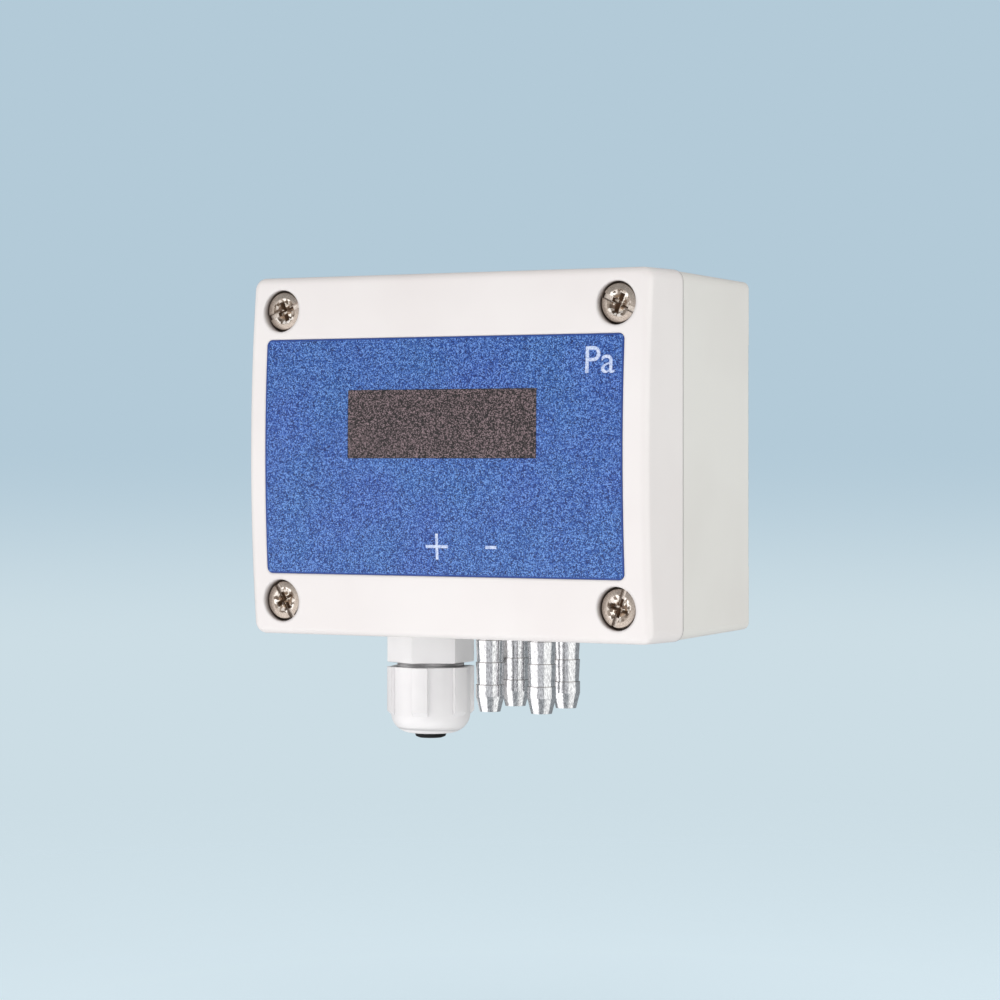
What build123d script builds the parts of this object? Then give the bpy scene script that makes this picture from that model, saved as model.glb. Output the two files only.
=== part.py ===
from build123d import *
import os
from math import radians, tan

# Differential pressure transmitter: a wall-mounted box with a bowed cover, a display behind a smoked
# window, a cable gland and four hose-barb nozzles below, and two sensors on a circuit board inside.
# Frame: X to the right, Y into the wall, Z up. The origin is the centre of the wall face, y = 0 is the
# wall, and z = 0 is halfway up the box. Millimetres.

# Enclosure
WIDTH = 115.0
HEIGHT = 90.0
BASE_DEPTH = 38.4
COVER_DEPTH = 16.1
BULGE = 2.5
COVER_LIP = 0.2
DRAFT = 1.9
CORNER_R = 3.0
FACE_EDGE_R = 1.8
BACK_EDGE_R = 1.2
WALL = 3.0
INNER_CORNER_R = 1.5
RIM_CORNER_R = 0.2
BACK_WALL = 2.8
COVER_SKIN = 2.6
FOOT_HEIGHT = 1.1
FEET_GAP_X = 62.0
FEET_GAP_Z = 55.4
TONGUE_WIDTH = 1.0
TONGUE_HEIGHT = 1.0
GROOVE_WIDTH = 1.6
GASKET_HEIGHT = 1.6
SLACK = 0.05

# Cover screws and their pillars
SCREW_INSET_X = 9.1
SCREW_INSET_Z = 8.5
RECESS_R = 5.3
RECESS_DEPTH = 4.0
HEAD_R = 4.75
HEAD_HEIGHT = 2.8
HEAD_ROUND = 0.25
DISH_R = 3.3
DISH_FLOOR_R = 2.1
DISH_DEPTH = 0.3
SHANK_R = 1.95
SCREW_TRAVEL = 8.0
SLOT_WIDTH = 1.4
SLOT_DEPTH = 0.9
CROSS_LENGTH = 5.2
CROSS_WIDTH = 1.5
CROSS_DEPTH = 1.9
CROSS_TAPER = 14.0
PILLAR_R = 4.6
COVER_PILLAR_WALL = 1.6
RIB = 1.4
RIB_DROP = 5.0
PILOT_SPARE = 2.0
RETAINER_R = 3.4
RETAINER_THICK = 1.0
RETAINER_GAP = 0.6
SLOT_TURN_TOP_LEFT = 20.0
SLOT_TURN_TOP_RIGHT = -25.0
SLOT_TURN_BOTTOM_LEFT = -60.0
SLOT_TURN_BOTTOM_RIGHT = 72.0

# Wall fixing holes
FIXING_BESIDE_SCREW_X = 9.4
FIXING_BESIDE_SCREW_Z = 3.5
FIXING_HOLE_R = 2.25
FIXING_BOSS_R = 4.6
FIXING_BOSS_HEIGHT = 2.0

# Label and display window
LABEL_MARGIN_X = 5.95
LABEL_MARGIN_Z = 15.6
LABEL_X = -0.6
LABEL_Z = -0.2
LABEL_CORNER_R = 1.5
LABEL_THICK = 0.4
LABEL_PROUD = 0.1
WINDOW_WIDTH = 54.3
WINDOW_HEIGHT = 16.8
WINDOW_Z = 7.85
WINDOW_FLANGE = 2.0
WINDOW_FLANGE_THICK = 1.2
FIT = 0.1

# Cable gland
GLAND_BESIDE_SCREW = 22.3
GLAND_BEHIND_MIDDLE = 0.8
GLAND_THREAD_R = 7.9
GLAND_BORE_R = 5.2
GLAND_HEX_AF = 19.4
GLAND_HEX_HEIGHT = 9.4
GLAND_HEX_TURN = 36.0
GLAND_HEX_ROUND = 0.4
GLAND_THREAD_INSIDE = 11.5
GLAND_NUT_GAP = 1.1
NUT_THREAD_R = 8.6
NUT_THREAD_LENGTH = 8.4
NUT_BODY_R = 10.2
NUT_RIB_R = 11.25
NUT_RIB_ANGLE = 22.0
NUT_RIB_COUNT = 6
NUT_RIB_TURN = 17.0
NUT_RIB_LENGTH = 12.65
NUT_RIB_ROOT = 0.4
NUT_RIB_RUNOUT = 1.25
NUT_LENGTH = 17.2
NUT_DOME_R = 5.0
NUT_DOME_SKIN = 2.4
NUT_FLAT_R = 4.6
SEAL_R = 6.2
SEAL_NOSE_R = 4.15
SEAL_TIP_R = 2.9
SEAL_NOSE_OUT = 1.2
SEAL_NOSE_ROUND = 0.35
SEAL_BORE_R = 2.5
SEAL_LENGTH = 12.4
CLAW_WALL = 1.5
CLAW_LENGTH = 5.6
CLAW_COUNT = 10
CLAW_SLOT = 1.2
LOCKNUT_AF = 20.0
LOCKNUT_HEIGHT = 5.0
O_RING_THICK = 0.9
O_RING_WIDTH = 1.1
GLAND_SPOT_R = 12.0

# Hose-barb nozzles: the front pair and the pair behind it
NOZZLE_PITCH = 15.0
FRONT_ROW_BESIDE_GLAND = 24.9
FRONT_ROW_BEHIND_SEAM = 6.9
BACK_ROW_BESIDE_GLAND = 20.1
BACK_ROW_Y = -11.0
BARB_R = 3.6
BARB_WAIST_R = 3.3
BARB_PITCH = 5.6
BARB_COUNT = 3
BARB_LAND = 2.9
TIP_LENGTH = 3.9
TIP_R = 2.6
NOZZLE_REACH = 19.5
NOZZLE_THREAD_R = 3.0
NOZZLE_BORE_R = 1.3
SPIGOT_R = 2.0
SPIGOT_LENGTH = 4.5
SPIGOT_TAPER = 0.4
SPIGOT_TAPER_LENGTH = 1.2
NOZZLE_NUT_AF = 9.0
NOZZLE_NUT_HEIGHT = 2.6
NOZZLE_SPOT_R = 4.1
ENTRY_WALL = 4.5
PAD_MARGIN = 5.8

# Circuit board and what stands on it
BOARD_SIDE_GAP = 6.3
BOARD_HEIGHT = 48.0
BOARD_Z = 4.0
BOARD_THICK = 1.6
BOARD_CORNER_R = 1.5
BOARD_STAND = 3.5
BOARD_HOLE_INSET = 5.0
BOARD_HIGH_HOLE_Z = 23.0
BOARD_LOW_HOLE_Z = -7.0
BOARD_NOTCH = 0.8
BOARD_HOLE_R = 1.4
BOARD_BOSS_R = 3.2
BOARD_SCREW_R = 1.2
BOARD_SCREW_HEAD_R = 2.4
BOARD_SCREW_HEAD = 1.8
BOARD_SCREW_LENGTH = 4.6
BOARD_CROSS_LENGTH = 2.9
BOARD_CROSS_WIDTH = 0.6
SENSOR_WIDTH = 18.0
SENSOR_HEIGHT = 12.0
SENSOR_DEPTH = 10.0
SENSOR_Z = 8.0
SENSOR_1_X = 15.0
SENSOR_2_X = -5.0
PORT_PITCH = 10.0
PORT_STAND = 6.0
PORT_LENGTH = 7.0
PORT_BORE_R = 0.8
PORT_ROOT = 3.0
SENSOR_CORNER_R = 0.8
SENSOR_BEVEL = 0.7
TUBE_R = 3.25
TUBE_BORE_R = 2.05
FRONT_TUBE_RISE = 9.9
BACK_TUBE_RISE = 8.0
TUBE_DROP = 11.6
TUBE_END_GAP = 0.3
TUBE_BEND_SHARE = 0.45
TERMINAL_POLES = 6
TERMINAL_PITCH = 3.81
TERMINAL_INSET = 12.45
TERMINAL_LOW_Z = -19.5
TERMINAL_HEIGHT = 8.5
TERMINAL_DEPTH = 10.5
TERMINAL_WALL = 0.5
TERMINAL_BEVEL = 1.2
TERMINAL_SCREW_R = 1.5
TERMINAL_SCREW_HEAD = 1.8
TERMINAL_SCREW_LENGTH = 5.0
TERMINAL_WELL_DEPTH = 1.2
TERMINAL_STEM_R = 1.0
WIRE_HOLE_WIDTH = 2.4
WIRE_HOLE_HEIGHT = 3.0
WIRE_HOLE_DEPTH = 5.0
SWITCH_INSET = 7.0
SWITCH_Z = -14.0
SWITCH_SIDE = 6.0
SWITCH_HEIGHT = 3.5
SWITCH_CORNER_R = 0.4
BUTTON_R = 1.7
BUTTON_OUT = 1.5
BUTTON_BEVEL = 0.25
BUTTON_TRAVEL = 0.25
JUMPER_INSET = 14.0
JUMPER_Z = -17.0
PIN_PITCH = 2.54
PIN_SIDE = 0.64
PIN_BASE_HEIGHT = 2.5
PIN_OUT = 6.0
SHUNT_HEIGHT = 6.0
SHUNT_WALL = 0.8
CONTROLLER_SIDE = 10.0
CONTROLLER_HEIGHT = 1.2
CONTROLLER_BEVEL = 0.2
LEAD_COUNT = 8
LEAD_WIDTH = 0.4
LEAD_LENGTH = 1.2
CONTROLLER_INSET = 7.5
CONTROLLER_Z = 10.0
CAPACITOR_R = 3.15
CAPACITOR_HEIGHT = 11.0
CAPACITOR_RIM = 0.6
BEAD_DEPTH = 0.3
BEAD_WIDTH = 0.7
BEAD_UP = 1.6
CAPACITOR_INSET = 8.0
CAPACITOR_Z = 4.25
CAPACITOR_PITCH = 7.2
INDUCTOR_SIDE = 8.0
INDUCTOR_HEIGHT = 4.2
INDUCTOR_CORE_R = 2.4
INDUCTOR_RING = 0.64
INDUCTOR_RING_DEPTH = 0.6
INDUCTOR_X = -21.0
INDUCTOR_Z = 8.0
LED_WIDTH = 2.0
LED_HEIGHT = 1.2
LED_DOME = 1.2
LED_INSET = 18.0
LED_Z = 22.0
LED_PITCH = 4.0
LED_COUNT = 3

# Display, on its own board in front of the main one
DISPLAY_WIDTH = 50.3
DISPLAY_HEIGHT = 19.0
DISPLAY_DEPTH = 8.0
DISPLAY_GAP = 0.5
DISPLAY_BOARD_WIDTH = 62.0
DISPLAY_BOARD_HEIGHT = 27.0
STANDOFF_X = 28.2
STANDOFF_Z = 10.0
STANDOFF_AF = 5.0
HEADER_PINS = 8
HEADER_Z = 18.8
SEGMENT_WIDTH = 1.4
DIGIT_WIDTH = 8.0
DIGIT_HEIGHT = 14.2
DIGIT_PITCH = 12.6
DIGIT_COUNT = 4
DIGIT_SLANT = 10.0
SEGMENT_SINK = 0.3

# Worked out from the sizes above
SCREW_X = WIDTH / 2 - SCREW_INSET_X
SCREW_Z = HEIGHT / 2 - SCREW_INSET_Z
FIXING_X = SCREW_X - FIXING_BESIDE_SCREW_X
FIXING_Z = SCREW_Z - FIXING_BESIDE_SCREW_Z
LABEL_WIDTH = WIDTH - 2 * LABEL_MARGIN_X
LABEL_HEIGHT = HEIGHT - 2 * LABEL_MARGIN_Z
SEAM_Y = -BASE_DEPTH
FACE_Y = SEAM_Y - COVER_DEPTH - BULGE
FACE_RADIUS = HEIGHT**2 / (8 * BULGE) + BULGE / 2
BASE_WIDTH = WIDTH - 2 * COVER_LIP
BASE_HEIGHT = HEIGHT - 2 * COVER_LIP
INNER_WIDTH = BASE_WIDTH - 2 * WALL
INNER_HEIGHT = BASE_HEIGHT - 2 * WALL
FLOOR_Y = -FOOT_HEIGHT - BACK_WALL
ENTRY_PAD_Z = -BASE_HEIGHT / 2 + ENTRY_WALL
GLAND_X = -SCREW_X + GLAND_BESIDE_SCREW
GLAND_Y = SEAM_Y / 2 - GLAND_BEHIND_MIDDLE
FRONT_ROW_X = GLAND_X + FRONT_ROW_BESIDE_GLAND
BACK_ROW_X = GLAND_X + BACK_ROW_BESIDE_GLAND
FRONT_ROW_Y = SEAM_Y + FRONT_ROW_BEHIND_SEAM
TIP_Z = -BASE_HEIGHT / 2 - NOZZLE_REACH
BOARD_WIDTH = INNER_WIDTH - 2 * BOARD_SIDE_GAP
BOARD_HOLE_X = BOARD_WIDTH / 2 - BOARD_HOLE_INSET
TERMINAL_X = -BOARD_WIDTH / 2 + TERMINAL_INSET
SWITCH_X = BOARD_WIDTH / 2 - SWITCH_INSET
JUMPER_X = BOARD_WIDTH / 2 - JUMPER_INSET
CONTROLLER_X = BOARD_WIDTH / 2 - CONTROLLER_INSET
CAPACITOR_X = -BOARD_WIDTH / 2 + CAPACITOR_INSET
LED_X = BOARD_WIDTH / 2 - LED_INSET
SEAT_Y = FACE_Y + SCREW_Z**2 / (2 * FACE_RADIUS) + RECESS_DEPTH
SCREW_TIP_Y = SEAM_Y + SCREW_TRAVEL
RETAINER_Y = SEAM_Y - RETAINER_GAP
BOARD_BACK_Y = FLOOR_Y - BOARD_STAND
BOARD_Y = BOARD_BACK_Y - BOARD_THICK
WINDOW_BACK_Y = FACE_Y + COVER_SKIN + WINDOW_FLANGE_THICK
DISPLAY_FRONT_Y = WINDOW_BACK_Y + DISPLAY_GAP
DISPLAY_BACK_Y = DISPLAY_FRONT_Y + DISPLAY_DEPTH
DISPLAY_BOARD_BACK_Y = DISPLAY_BACK_Y + BOARD_THICK
PORT_Y = BOARD_Y - PORT_STAND
PORT_Z = SENSOR_Z - SENSOR_HEIGHT / 2
CORNERS = [(-1, 1), (1, 1), (-1, -1), (1, -1)]
SLOT_TURNS = [
    SLOT_TURN_TOP_LEFT,
    SLOT_TURN_TOP_RIGHT,
    SLOT_TURN_BOTTOM_LEFT,
    SLOT_TURN_BOTTOM_RIGHT,
]
NOZZLE_PLACES = [
    (FRONT_ROW_X, FRONT_ROW_Y),
    (FRONT_ROW_X + NOZZLE_PITCH, FRONT_ROW_Y),
    (BACK_ROW_X, BACK_ROW_Y),
    (BACK_ROW_X + NOZZLE_PITCH, BACK_ROW_Y),
]
PORT_XS = [
    SENSOR_1_X - PORT_PITCH / 2,
    SENSOR_1_X + PORT_PITCH / 2,
    SENSOR_2_X - PORT_PITCH / 2,
    SENSOR_2_X + PORT_PITCH / 2,
]


def bottom_z(y):
    """Height of the drafted underside of the base at depth y."""
    return -BASE_HEIGHT / 2 + (y - SEAM_Y) * tan(radians(DRAFT))


def nozzle_seat_z(y):
    """Height of the spot face that a nozzle bears on."""
    return bottom_z(y + NOZZLE_SPOT_R) + SLACK


GLAND_SEAT_Z = bottom_z(GLAND_Y + GLAND_SPOT_R) + SLACK
HEX_LOW_Z = GLAND_SEAT_Z - GLAND_HEX_HEIGHT
NUT_TOP_Z = HEX_LOW_Z - GLAND_NUT_GAP
NUT_LOW_Z = NUT_TOP_Z - NUT_LENGTH
NUT_FLOOR_Z = NUT_LOW_Z + NUT_DOME_SKIN
THREAD_LOW_Z = HEX_LOW_Z - GLAND_NUT_GAP - NUT_THREAD_LENGTH
CLAW_LOW_Z = THREAD_LOW_Z - CLAW_LENGTH
SEAL_TOP_Z = NUT_FLOOR_Z + SEAL_LENGTH


def board_hole(side, level):
    """Place of a fixing hole of the main board."""
    return side * BOARD_HOLE_X, BOARD_HIGH_HOLE_Z if level > 0 else BOARD_LOW_HOLE_Z


def front_plane(y):
    """Plane parallel to the wall at depth y, drawn as seen from the front, normal towards the viewer."""
    return Plane(origin=(0, y, 0), x_dir=(1, 0, 0), z_dir=(0, -1, 0))


def forward(sketch, y, depth, taper=0.0):
    """Extrude a front-view sketch from depth y towards the viewer."""
    return extrude(front_plane(y) * sketch, amount=depth, taper=taper)


def to_wall(sketch, y, depth, taper):
    """Extrude a symmetric front-view sketch from depth y towards the wall, with draft."""
    plane = Plane(origin=(0, y, 0), x_dir=(1, 0, 0), z_dir=(0, 1, 0))
    return extrude(plane * sketch, amount=depth, taper=taper)


def block(x_low, x_high, y_low, y_high, z_low, z_high):
    """Box between two corners."""
    centre = ((x_low + x_high) / 2, (y_low + y_high) / 2, (z_low + z_high) / 2)
    return Pos(*centre) * Box(x_high - x_low, y_high - y_low, z_high - z_low)


def post(x, y, radius, z_low, z_high):
    """Upright round post on a vertical axis."""
    return Pos(x, y, (z_low + z_high) / 2) * Cylinder(radius, z_high - z_low)


def turned(points, x, y):
    """Body of revolution about the vertical axis through (x, y), from (radius, height) points."""
    profile = Plane.XZ * make_face(Polyline(*points, close=True))
    return Pos(x, y, 0) * revolve(profile, Axis.Z)


def bowed(radius):
    """Solid bounded by the bowed face: a drum on a level axis behind the wall."""
    drum = Rot(0, 90, 0) * Cylinder(radius, 3 * WIDTH)
    return Pos(0, FACE_Y + FACE_RADIUS, 0) * drum


def rim(width, centre_in):
    """Closed strip of the given width that runs round the rim of the walls."""
    outer_w = BASE_WIDTH - 2 * centre_in + width
    outer_h = BASE_HEIGHT - 2 * centre_in + width
    outer_r = CORNER_R - centre_in + width / 2
    inner_r = max(outer_r - width, RIM_CORNER_R)
    outer = RectangleRounded(outer_w, outer_h, outer_r)
    return outer - RectangleRounded(outer_w - 2 * width, outer_h - 2 * width, inner_r)


def hexagon(across_flats, turn):
    """Hexagon with one flat facing the given azimuth, counted from -Y towards +X."""
    return Rot(0, 0, turn) * RegularPolygon(across_flats / 2, 6, major_radius=False)


# Enclosure


def base_housing():
    """Moulded tub: drafted walls, four feet, screw pillars, fixing and board bosses, a sealing tongue."""
    tub = to_wall(RectangleRounded(BASE_WIDTH, BASE_HEIGHT, CORNER_R), SEAM_Y, BASE_DEPTH, DRAFT)
    back_edges = tub.faces().sort_by(Axis.Y)[-1].edges()
    tub = fillet(back_edges, BACK_EDGE_R)
    inner = RectangleRounded(INNER_WIDTH, INNER_HEIGHT, INNER_CORNER_R)
    cavity = to_wall(inner, SEAM_Y, BASE_DEPTH + FLOOR_Y, DRAFT)
    tub -= cavity
    half_w = BASE_WIDTH / 2
    half_h = BASE_HEIGHT / 2
    tub -= block(-half_w, half_w, -FOOT_HEIGHT, 1, -FEET_GAP_Z / 2, FEET_GAP_Z / 2)
    tub -= block(-FEET_GAP_X / 2, FEET_GAP_X / 2, -FOOT_HEIGHT, 1, -half_h, half_h)
    depth = FLOOR_Y - SEAM_Y
    for side, level in CORNERS:
        x = side * SCREW_X
        z = level * SCREW_Z
        tub += forward(Pos(x, z) * Circle(PILLAR_R), FLOOR_Y, depth)
        reach_x = INNER_WIDTH / 2 + WALL / 3 - SCREW_X
        reach_z = INNER_HEIGHT / 2 + WALL / 3 - SCREW_Z
        rib_x = Pos(x + side * reach_x / 2, z) * Rectangle(reach_x, RIB)
        rib_z = Pos(x, z + level * reach_z / 2) * Rectangle(RIB, reach_z)
        tub += forward(rib_x, FLOOR_Y, depth - RIB_DROP)
        tub += forward(rib_z, FLOOR_Y, depth - RIB_DROP)
        tub -= forward(Pos(x, z) * Circle(SHANK_R + FIT), SCREW_TIP_Y + PILOT_SPARE, depth)
        fixing = Pos(side * FIXING_X, level * FIXING_Z)
        tub += forward(fixing * Circle(FIXING_BOSS_R), FLOOR_Y, FIXING_BOSS_HEIGHT)
        tub -= forward(fixing * Circle(FIXING_HOLE_R), 1, BASE_DEPTH)
        board_boss = Pos(*board_hole(side, level))
        tub += forward(board_boss * Circle(BOARD_BOSS_R), FLOOR_Y, BOARD_STAND)
        tub -= forward(board_boss * Circle(BOARD_SCREW_R + SLACK), -FOOT_HEIGHT - 1, BASE_DEPTH)
    tub += forward(rim(TONGUE_WIDTH, WALL / 2), SEAM_Y, TONGUE_HEIGHT)
    tub = entry_wall(tub)
    return tub


def entry_wall(tub):
    """Underside of the tub: flat pads inside and spot faces outside for the gland and the nozzles."""
    pad_r = GLAND_SPOT_R + FIT
    tub += post(GLAND_X, GLAND_Y, pad_r, bottom_z(GLAND_Y) + 1, ENTRY_PAD_Z)
    low_x = min(FRONT_ROW_X, BACK_ROW_X) - PAD_MARGIN
    high_x = max(FRONT_ROW_X, BACK_ROW_X) + NOZZLE_PITCH + PAD_MARGIN
    low_y = FRONT_ROW_Y - PAD_MARGIN
    high_y = BACK_ROW_Y + PAD_MARGIN
    tub += block(low_x, high_x, low_y, high_y, bottom_z(BACK_ROW_Y) + 1, ENTRY_PAD_Z)
    tub -= post(GLAND_X, GLAND_Y, GLAND_SPOT_R, -HEIGHT, GLAND_SEAT_Z)
    tub -= post(GLAND_X, GLAND_Y, GLAND_THREAD_R + FIT, -HEIGHT, ENTRY_PAD_Z + 1)
    for x, y in NOZZLE_PLACES:
        tub -= post(x, y, NOZZLE_SPOT_R, -HEIGHT, nozzle_seat_z(y))
        tub -= post(x, y, NOZZLE_THREAD_R + FIT, -HEIGHT, ENTRY_PAD_Z + 1)
    return tub


def cover():
    """Moulded cover: bowed face with a rounded edge, label bed, window opening and four screw wells."""
    blank = forward(RectangleRounded(WIDTH, HEIGHT, CORNER_R), SEAM_Y, BASE_DEPTH)
    lid = blank & bowed(FACE_RADIUS)
    edge_y = SEAM_Y - COVER_DEPTH + FACE_EDGE_R
    face_edges = lid.edges().filter_by(lambda edge: edge.center().Y < edge_y)
    lid = fillet(face_edges, FACE_EDGE_R)
    inner = forward(RectangleRounded(INNER_WIDTH, INNER_HEIGHT, INNER_CORNER_R), SEAM_Y, BASE_DEPTH)
    lid -= inner & bowed(FACE_RADIUS - COVER_SKIN)
    pocket_y = RETAINER_Y - RETAINER_THICK - SCREW_TRAVEL - FIT
    for side, level in CORNERS:
        x = side * SCREW_X
        z = level * SCREW_Z
        centre = Pos(x, z)
        sleeve = forward(centre * Circle(PILLAR_R), SEAM_Y, SEAM_Y - SEAT_Y)
        cup_y = SEAT_Y + COVER_PILLAR_WALL
        cup = forward(centre * Circle(RECESS_R + COVER_PILLAR_WALL), cup_y, BASE_DEPTH)
        lid += sleeve + (cup & bowed(FACE_RADIUS - COVER_SKIN / 2))
        reach_x = INNER_WIDTH / 2 + WALL / 3 - SCREW_X
        reach_z = INNER_HEIGHT / 2 + WALL / 3 - SCREW_Z
        rib_x = Pos(x + side * reach_x / 2, z) * Rectangle(reach_x, RIB)
        rib_z = Pos(x, z + level * reach_z / 2) * Rectangle(RIB, reach_z)
        ribs = forward(rib_x, SEAM_Y - RIB_DROP, BASE_DEPTH) + forward(rib_z, SEAM_Y - RIB_DROP, BASE_DEPTH)
        lid += ribs & bowed(FACE_RADIUS - COVER_SKIN / 2) & blank
        lid -= forward(centre * Circle(RECESS_R), SEAT_Y, BASE_DEPTH)
        lid -= forward(centre * Circle(SHANK_R + FIT), SEAM_Y + 1, BASE_DEPTH)
        lid -= forward(centre * Circle(RETAINER_R + FIT), SEAM_Y + 1, SEAM_Y + 1 - pocket_y)
    lid -= forward(rim(GROOVE_WIDTH, WALL / 2), SEAM_Y, TONGUE_HEIGHT + GASKET_HEIGHT)
    bed = RectangleRounded(LABEL_WIDTH + 2 * FIT, LABEL_HEIGHT + 2 * FIT, LABEL_CORNER_R + FIT)
    bed = forward(Pos(LABEL_X, LABEL_Z) * bed, SEAM_Y, BASE_DEPTH)
    lid -= bed - bowed(FACE_RADIUS + LABEL_PROUD - LABEL_THICK)
    lid -= forward(window_outline(FIT), SEAM_Y, BASE_DEPTH)
    return lid


def window_outline(margin):
    """Outline of the display window, grown by a margin on each side."""
    return Pos(0, WINDOW_Z) * Rectangle(WINDOW_WIDTH + 2 * margin, WINDOW_HEIGHT + 2 * margin)


def cover_gasket():
    """Cord of foam rubber in the cover's groove, pressed by the tongue."""
    width = GROOVE_WIDTH - 2 * SLACK
    return forward(rim(width, WALL / 2), SEAM_Y - TONGUE_HEIGHT, GASKET_HEIGHT)


def front_label():
    """Printed foil that follows the bow of the cover, with an opening over the display."""
    sheet = Pos(LABEL_X, LABEL_Z) * RectangleRounded(LABEL_WIDTH, LABEL_HEIGHT, LABEL_CORNER_R)
    sheet -= window_outline(FIT)
    slab = forward(sheet, SEAM_Y, BASE_DEPTH) & bowed(FACE_RADIUS + LABEL_PROUD)
    return slab - bowed(FACE_RADIUS + LABEL_PROUD - LABEL_THICK)


def display_window():
    """Smoked pane, flush with the label, with a flange that is glued behind the cover's skin."""
    pane = forward(window_outline(0), SEAM_Y, BASE_DEPTH) & bowed(FACE_RADIUS + LABEL_PROUD)
    pane -= bowed(FACE_RADIUS - COVER_SKIN - WINDOW_FLANGE_THICK)
    flange = forward(window_outline(WINDOW_FLANGE), SEAM_Y, BASE_DEPTH)
    flange &= bowed(FACE_RADIUS - COVER_SKIN - SLACK)
    flange -= bowed(FACE_RADIUS - COVER_SKIN - WINDOW_FLANGE_THICK)
    return pane + flange


def cover_screw(side, level, turn):
    """Steel screw with a low head, dished round its combined slot and cross recess."""
    centre = Pos(side * SCREW_X, level * SCREW_Z)
    head = forward(centre * Circle(HEAD_R), SEAT_Y, HEAD_HEIGHT)
    head = fillet(head.faces().sort_by(Axis.Y)[0].edges(), HEAD_ROUND)
    shank = forward(centre * Circle(SHANK_R), SCREW_TIP_Y, SCREW_TIP_Y - SEAT_Y)
    shank = chamfer(shank.faces().sort_by(Axis.Y)[-1].edges(), SHANK_R / 3)
    top_y = SEAT_Y - HEAD_HEIGHT
    slot = centre * Rot(0, 0, turn) * Rectangle(3 * HEAD_R, SLOT_WIDTH)
    head -= forward(slot, top_y + SLOT_DEPTH, HEAD_HEIGHT)
    dish = Pos(0, 0, -DISH_DEPTH / 2) * Cone(DISH_FLOOR_R, DISH_R, DISH_DEPTH)
    head -= front_plane(top_y) * centre * dish
    for quarter in (0, 90):
        arm = centre * Rot(0, 0, turn + quarter) * Rectangle(CROSS_LENGTH, CROSS_WIDTH)
        head -= to_wall_at(arm, top_y, CROSS_DEPTH, CROSS_TAPER)
    return head + shank


def to_wall_at(sketch, y, depth, taper):
    """Cut shape that starts on a front-view sketch at depth y and narrows towards the wall."""
    return extrude(front_plane(y) * sketch, amount=-depth, taper=taper)


def screw_retainer(side, level):
    """Rubber ring on the shank, which keeps a loosened screw in the cover."""
    ring = Circle(RETAINER_R) - Circle(SHANK_R + SLACK)
    return forward(Pos(side * SCREW_X, level * SCREW_Z) * ring, RETAINER_Y, RETAINER_THICK)


# Cable gland


def gland_body():
    """Nylon body: hexagon, thread through the wall, thread for the nut, and clamping claws."""
    outline = hexagon(GLAND_HEX_AF, GLAND_HEX_TURN)
    head = extrude(Plane.XY.offset(HEX_LOW_Z) * outline, GLAND_HEX_HEIGHT)
    head = fillet(head.faces().sort_by(Axis.Z)[0].edges(), GLAND_HEX_ROUND)
    body = Pos(GLAND_X, GLAND_Y, 0) * head
    body += post(GLAND_X, GLAND_Y, GLAND_THREAD_R, HEX_LOW_Z, GLAND_SEAT_Z + GLAND_THREAD_INSIDE)
    body += post(GLAND_X, GLAND_Y, NUT_THREAD_R, THREAD_LOW_Z, HEX_LOW_Z)
    claw_r = SEAL_R + FIT + CLAW_WALL
    claws = post(GLAND_X, GLAND_Y, claw_r, CLAW_LOW_Z, THREAD_LOW_Z)
    claws = chamfer(claws.faces().sort_by(Axis.Z)[0].edges(), CLAW_WALL / 3)
    for index in range(CLAW_COUNT):
        slot = Pos(claw_r, 0, (CLAW_LOW_Z + THREAD_LOW_Z) / 2) * Box(2 * claw_r, CLAW_SLOT, CLAW_LENGTH)
        claws -= Pos(GLAND_X, GLAND_Y, 0) * Rot(0, 0, index * 360 / CLAW_COUNT) * slot
    body += claws
    body -= post(GLAND_X, GLAND_Y, GLAND_BORE_R, SEAL_TOP_Z, 0)
    body -= post(GLAND_X, GLAND_Y, SEAL_R + FIT, -HEIGHT, SEAL_TOP_Z + FIT)
    groove_r = GLAND_THREAD_R + 2 * SLACK + O_RING_WIDTH
    groove = post(GLAND_X, GLAND_Y, groove_r + SLACK, GLAND_SEAT_Z - O_RING_THICK, GLAND_SEAT_Z)
    groove -= post(GLAND_X, GLAND_Y, GLAND_THREAD_R, -HEIGHT, HEIGHT)
    return body - groove


def gland_o_ring():
    """Flat sealing ring in the hexagon's upper face."""
    inner_r = GLAND_THREAD_R + 2 * SLACK
    ring = post(GLAND_X, GLAND_Y, inner_r + O_RING_WIDTH, GLAND_SEAT_Z - O_RING_THICK, GLAND_SEAT_Z)
    return ring - post(GLAND_X, GLAND_Y, inner_r, -HEIGHT, HEIGHT)


def gland_locknut():
    """Hexagon nut that clamps the gland to the wall from inside."""
    nut = extrude(Plane.XY.offset(ENTRY_PAD_Z) * hexagon(LOCKNUT_AF, 0), LOCKNUT_HEIGHT)
    nut -= Cylinder(GLAND_THREAD_R + SLACK, 3 * HEIGHT)
    return Pos(GLAND_X, GLAND_Y, 0) * nut


def gland_seal():
    """Rubber insert that grips the cable: it sits in the claws and its nose shows below the nut."""
    nose_z = NUT_LOW_Z - SEAL_NOSE_OUT
    points = [
        (SEAL_BORE_R, SEAL_TOP_Z),
        (SEAL_R, SEAL_TOP_Z),
        (SEAL_R, NUT_FLOOR_Z + FIT),
        (SEAL_NOSE_R, NUT_FLOOR_Z + FIT),
        (SEAL_NOSE_R, NUT_LOW_Z),
        (SEAL_NOSE_R - SEAL_NOSE_ROUND, nose_z + SEAL_NOSE_ROUND),
        (SEAL_TIP_R, nose_z),
        (SEAL_BORE_R, nose_z),
    ]
    return turned(points, GLAND_X, GLAND_Y)


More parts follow.
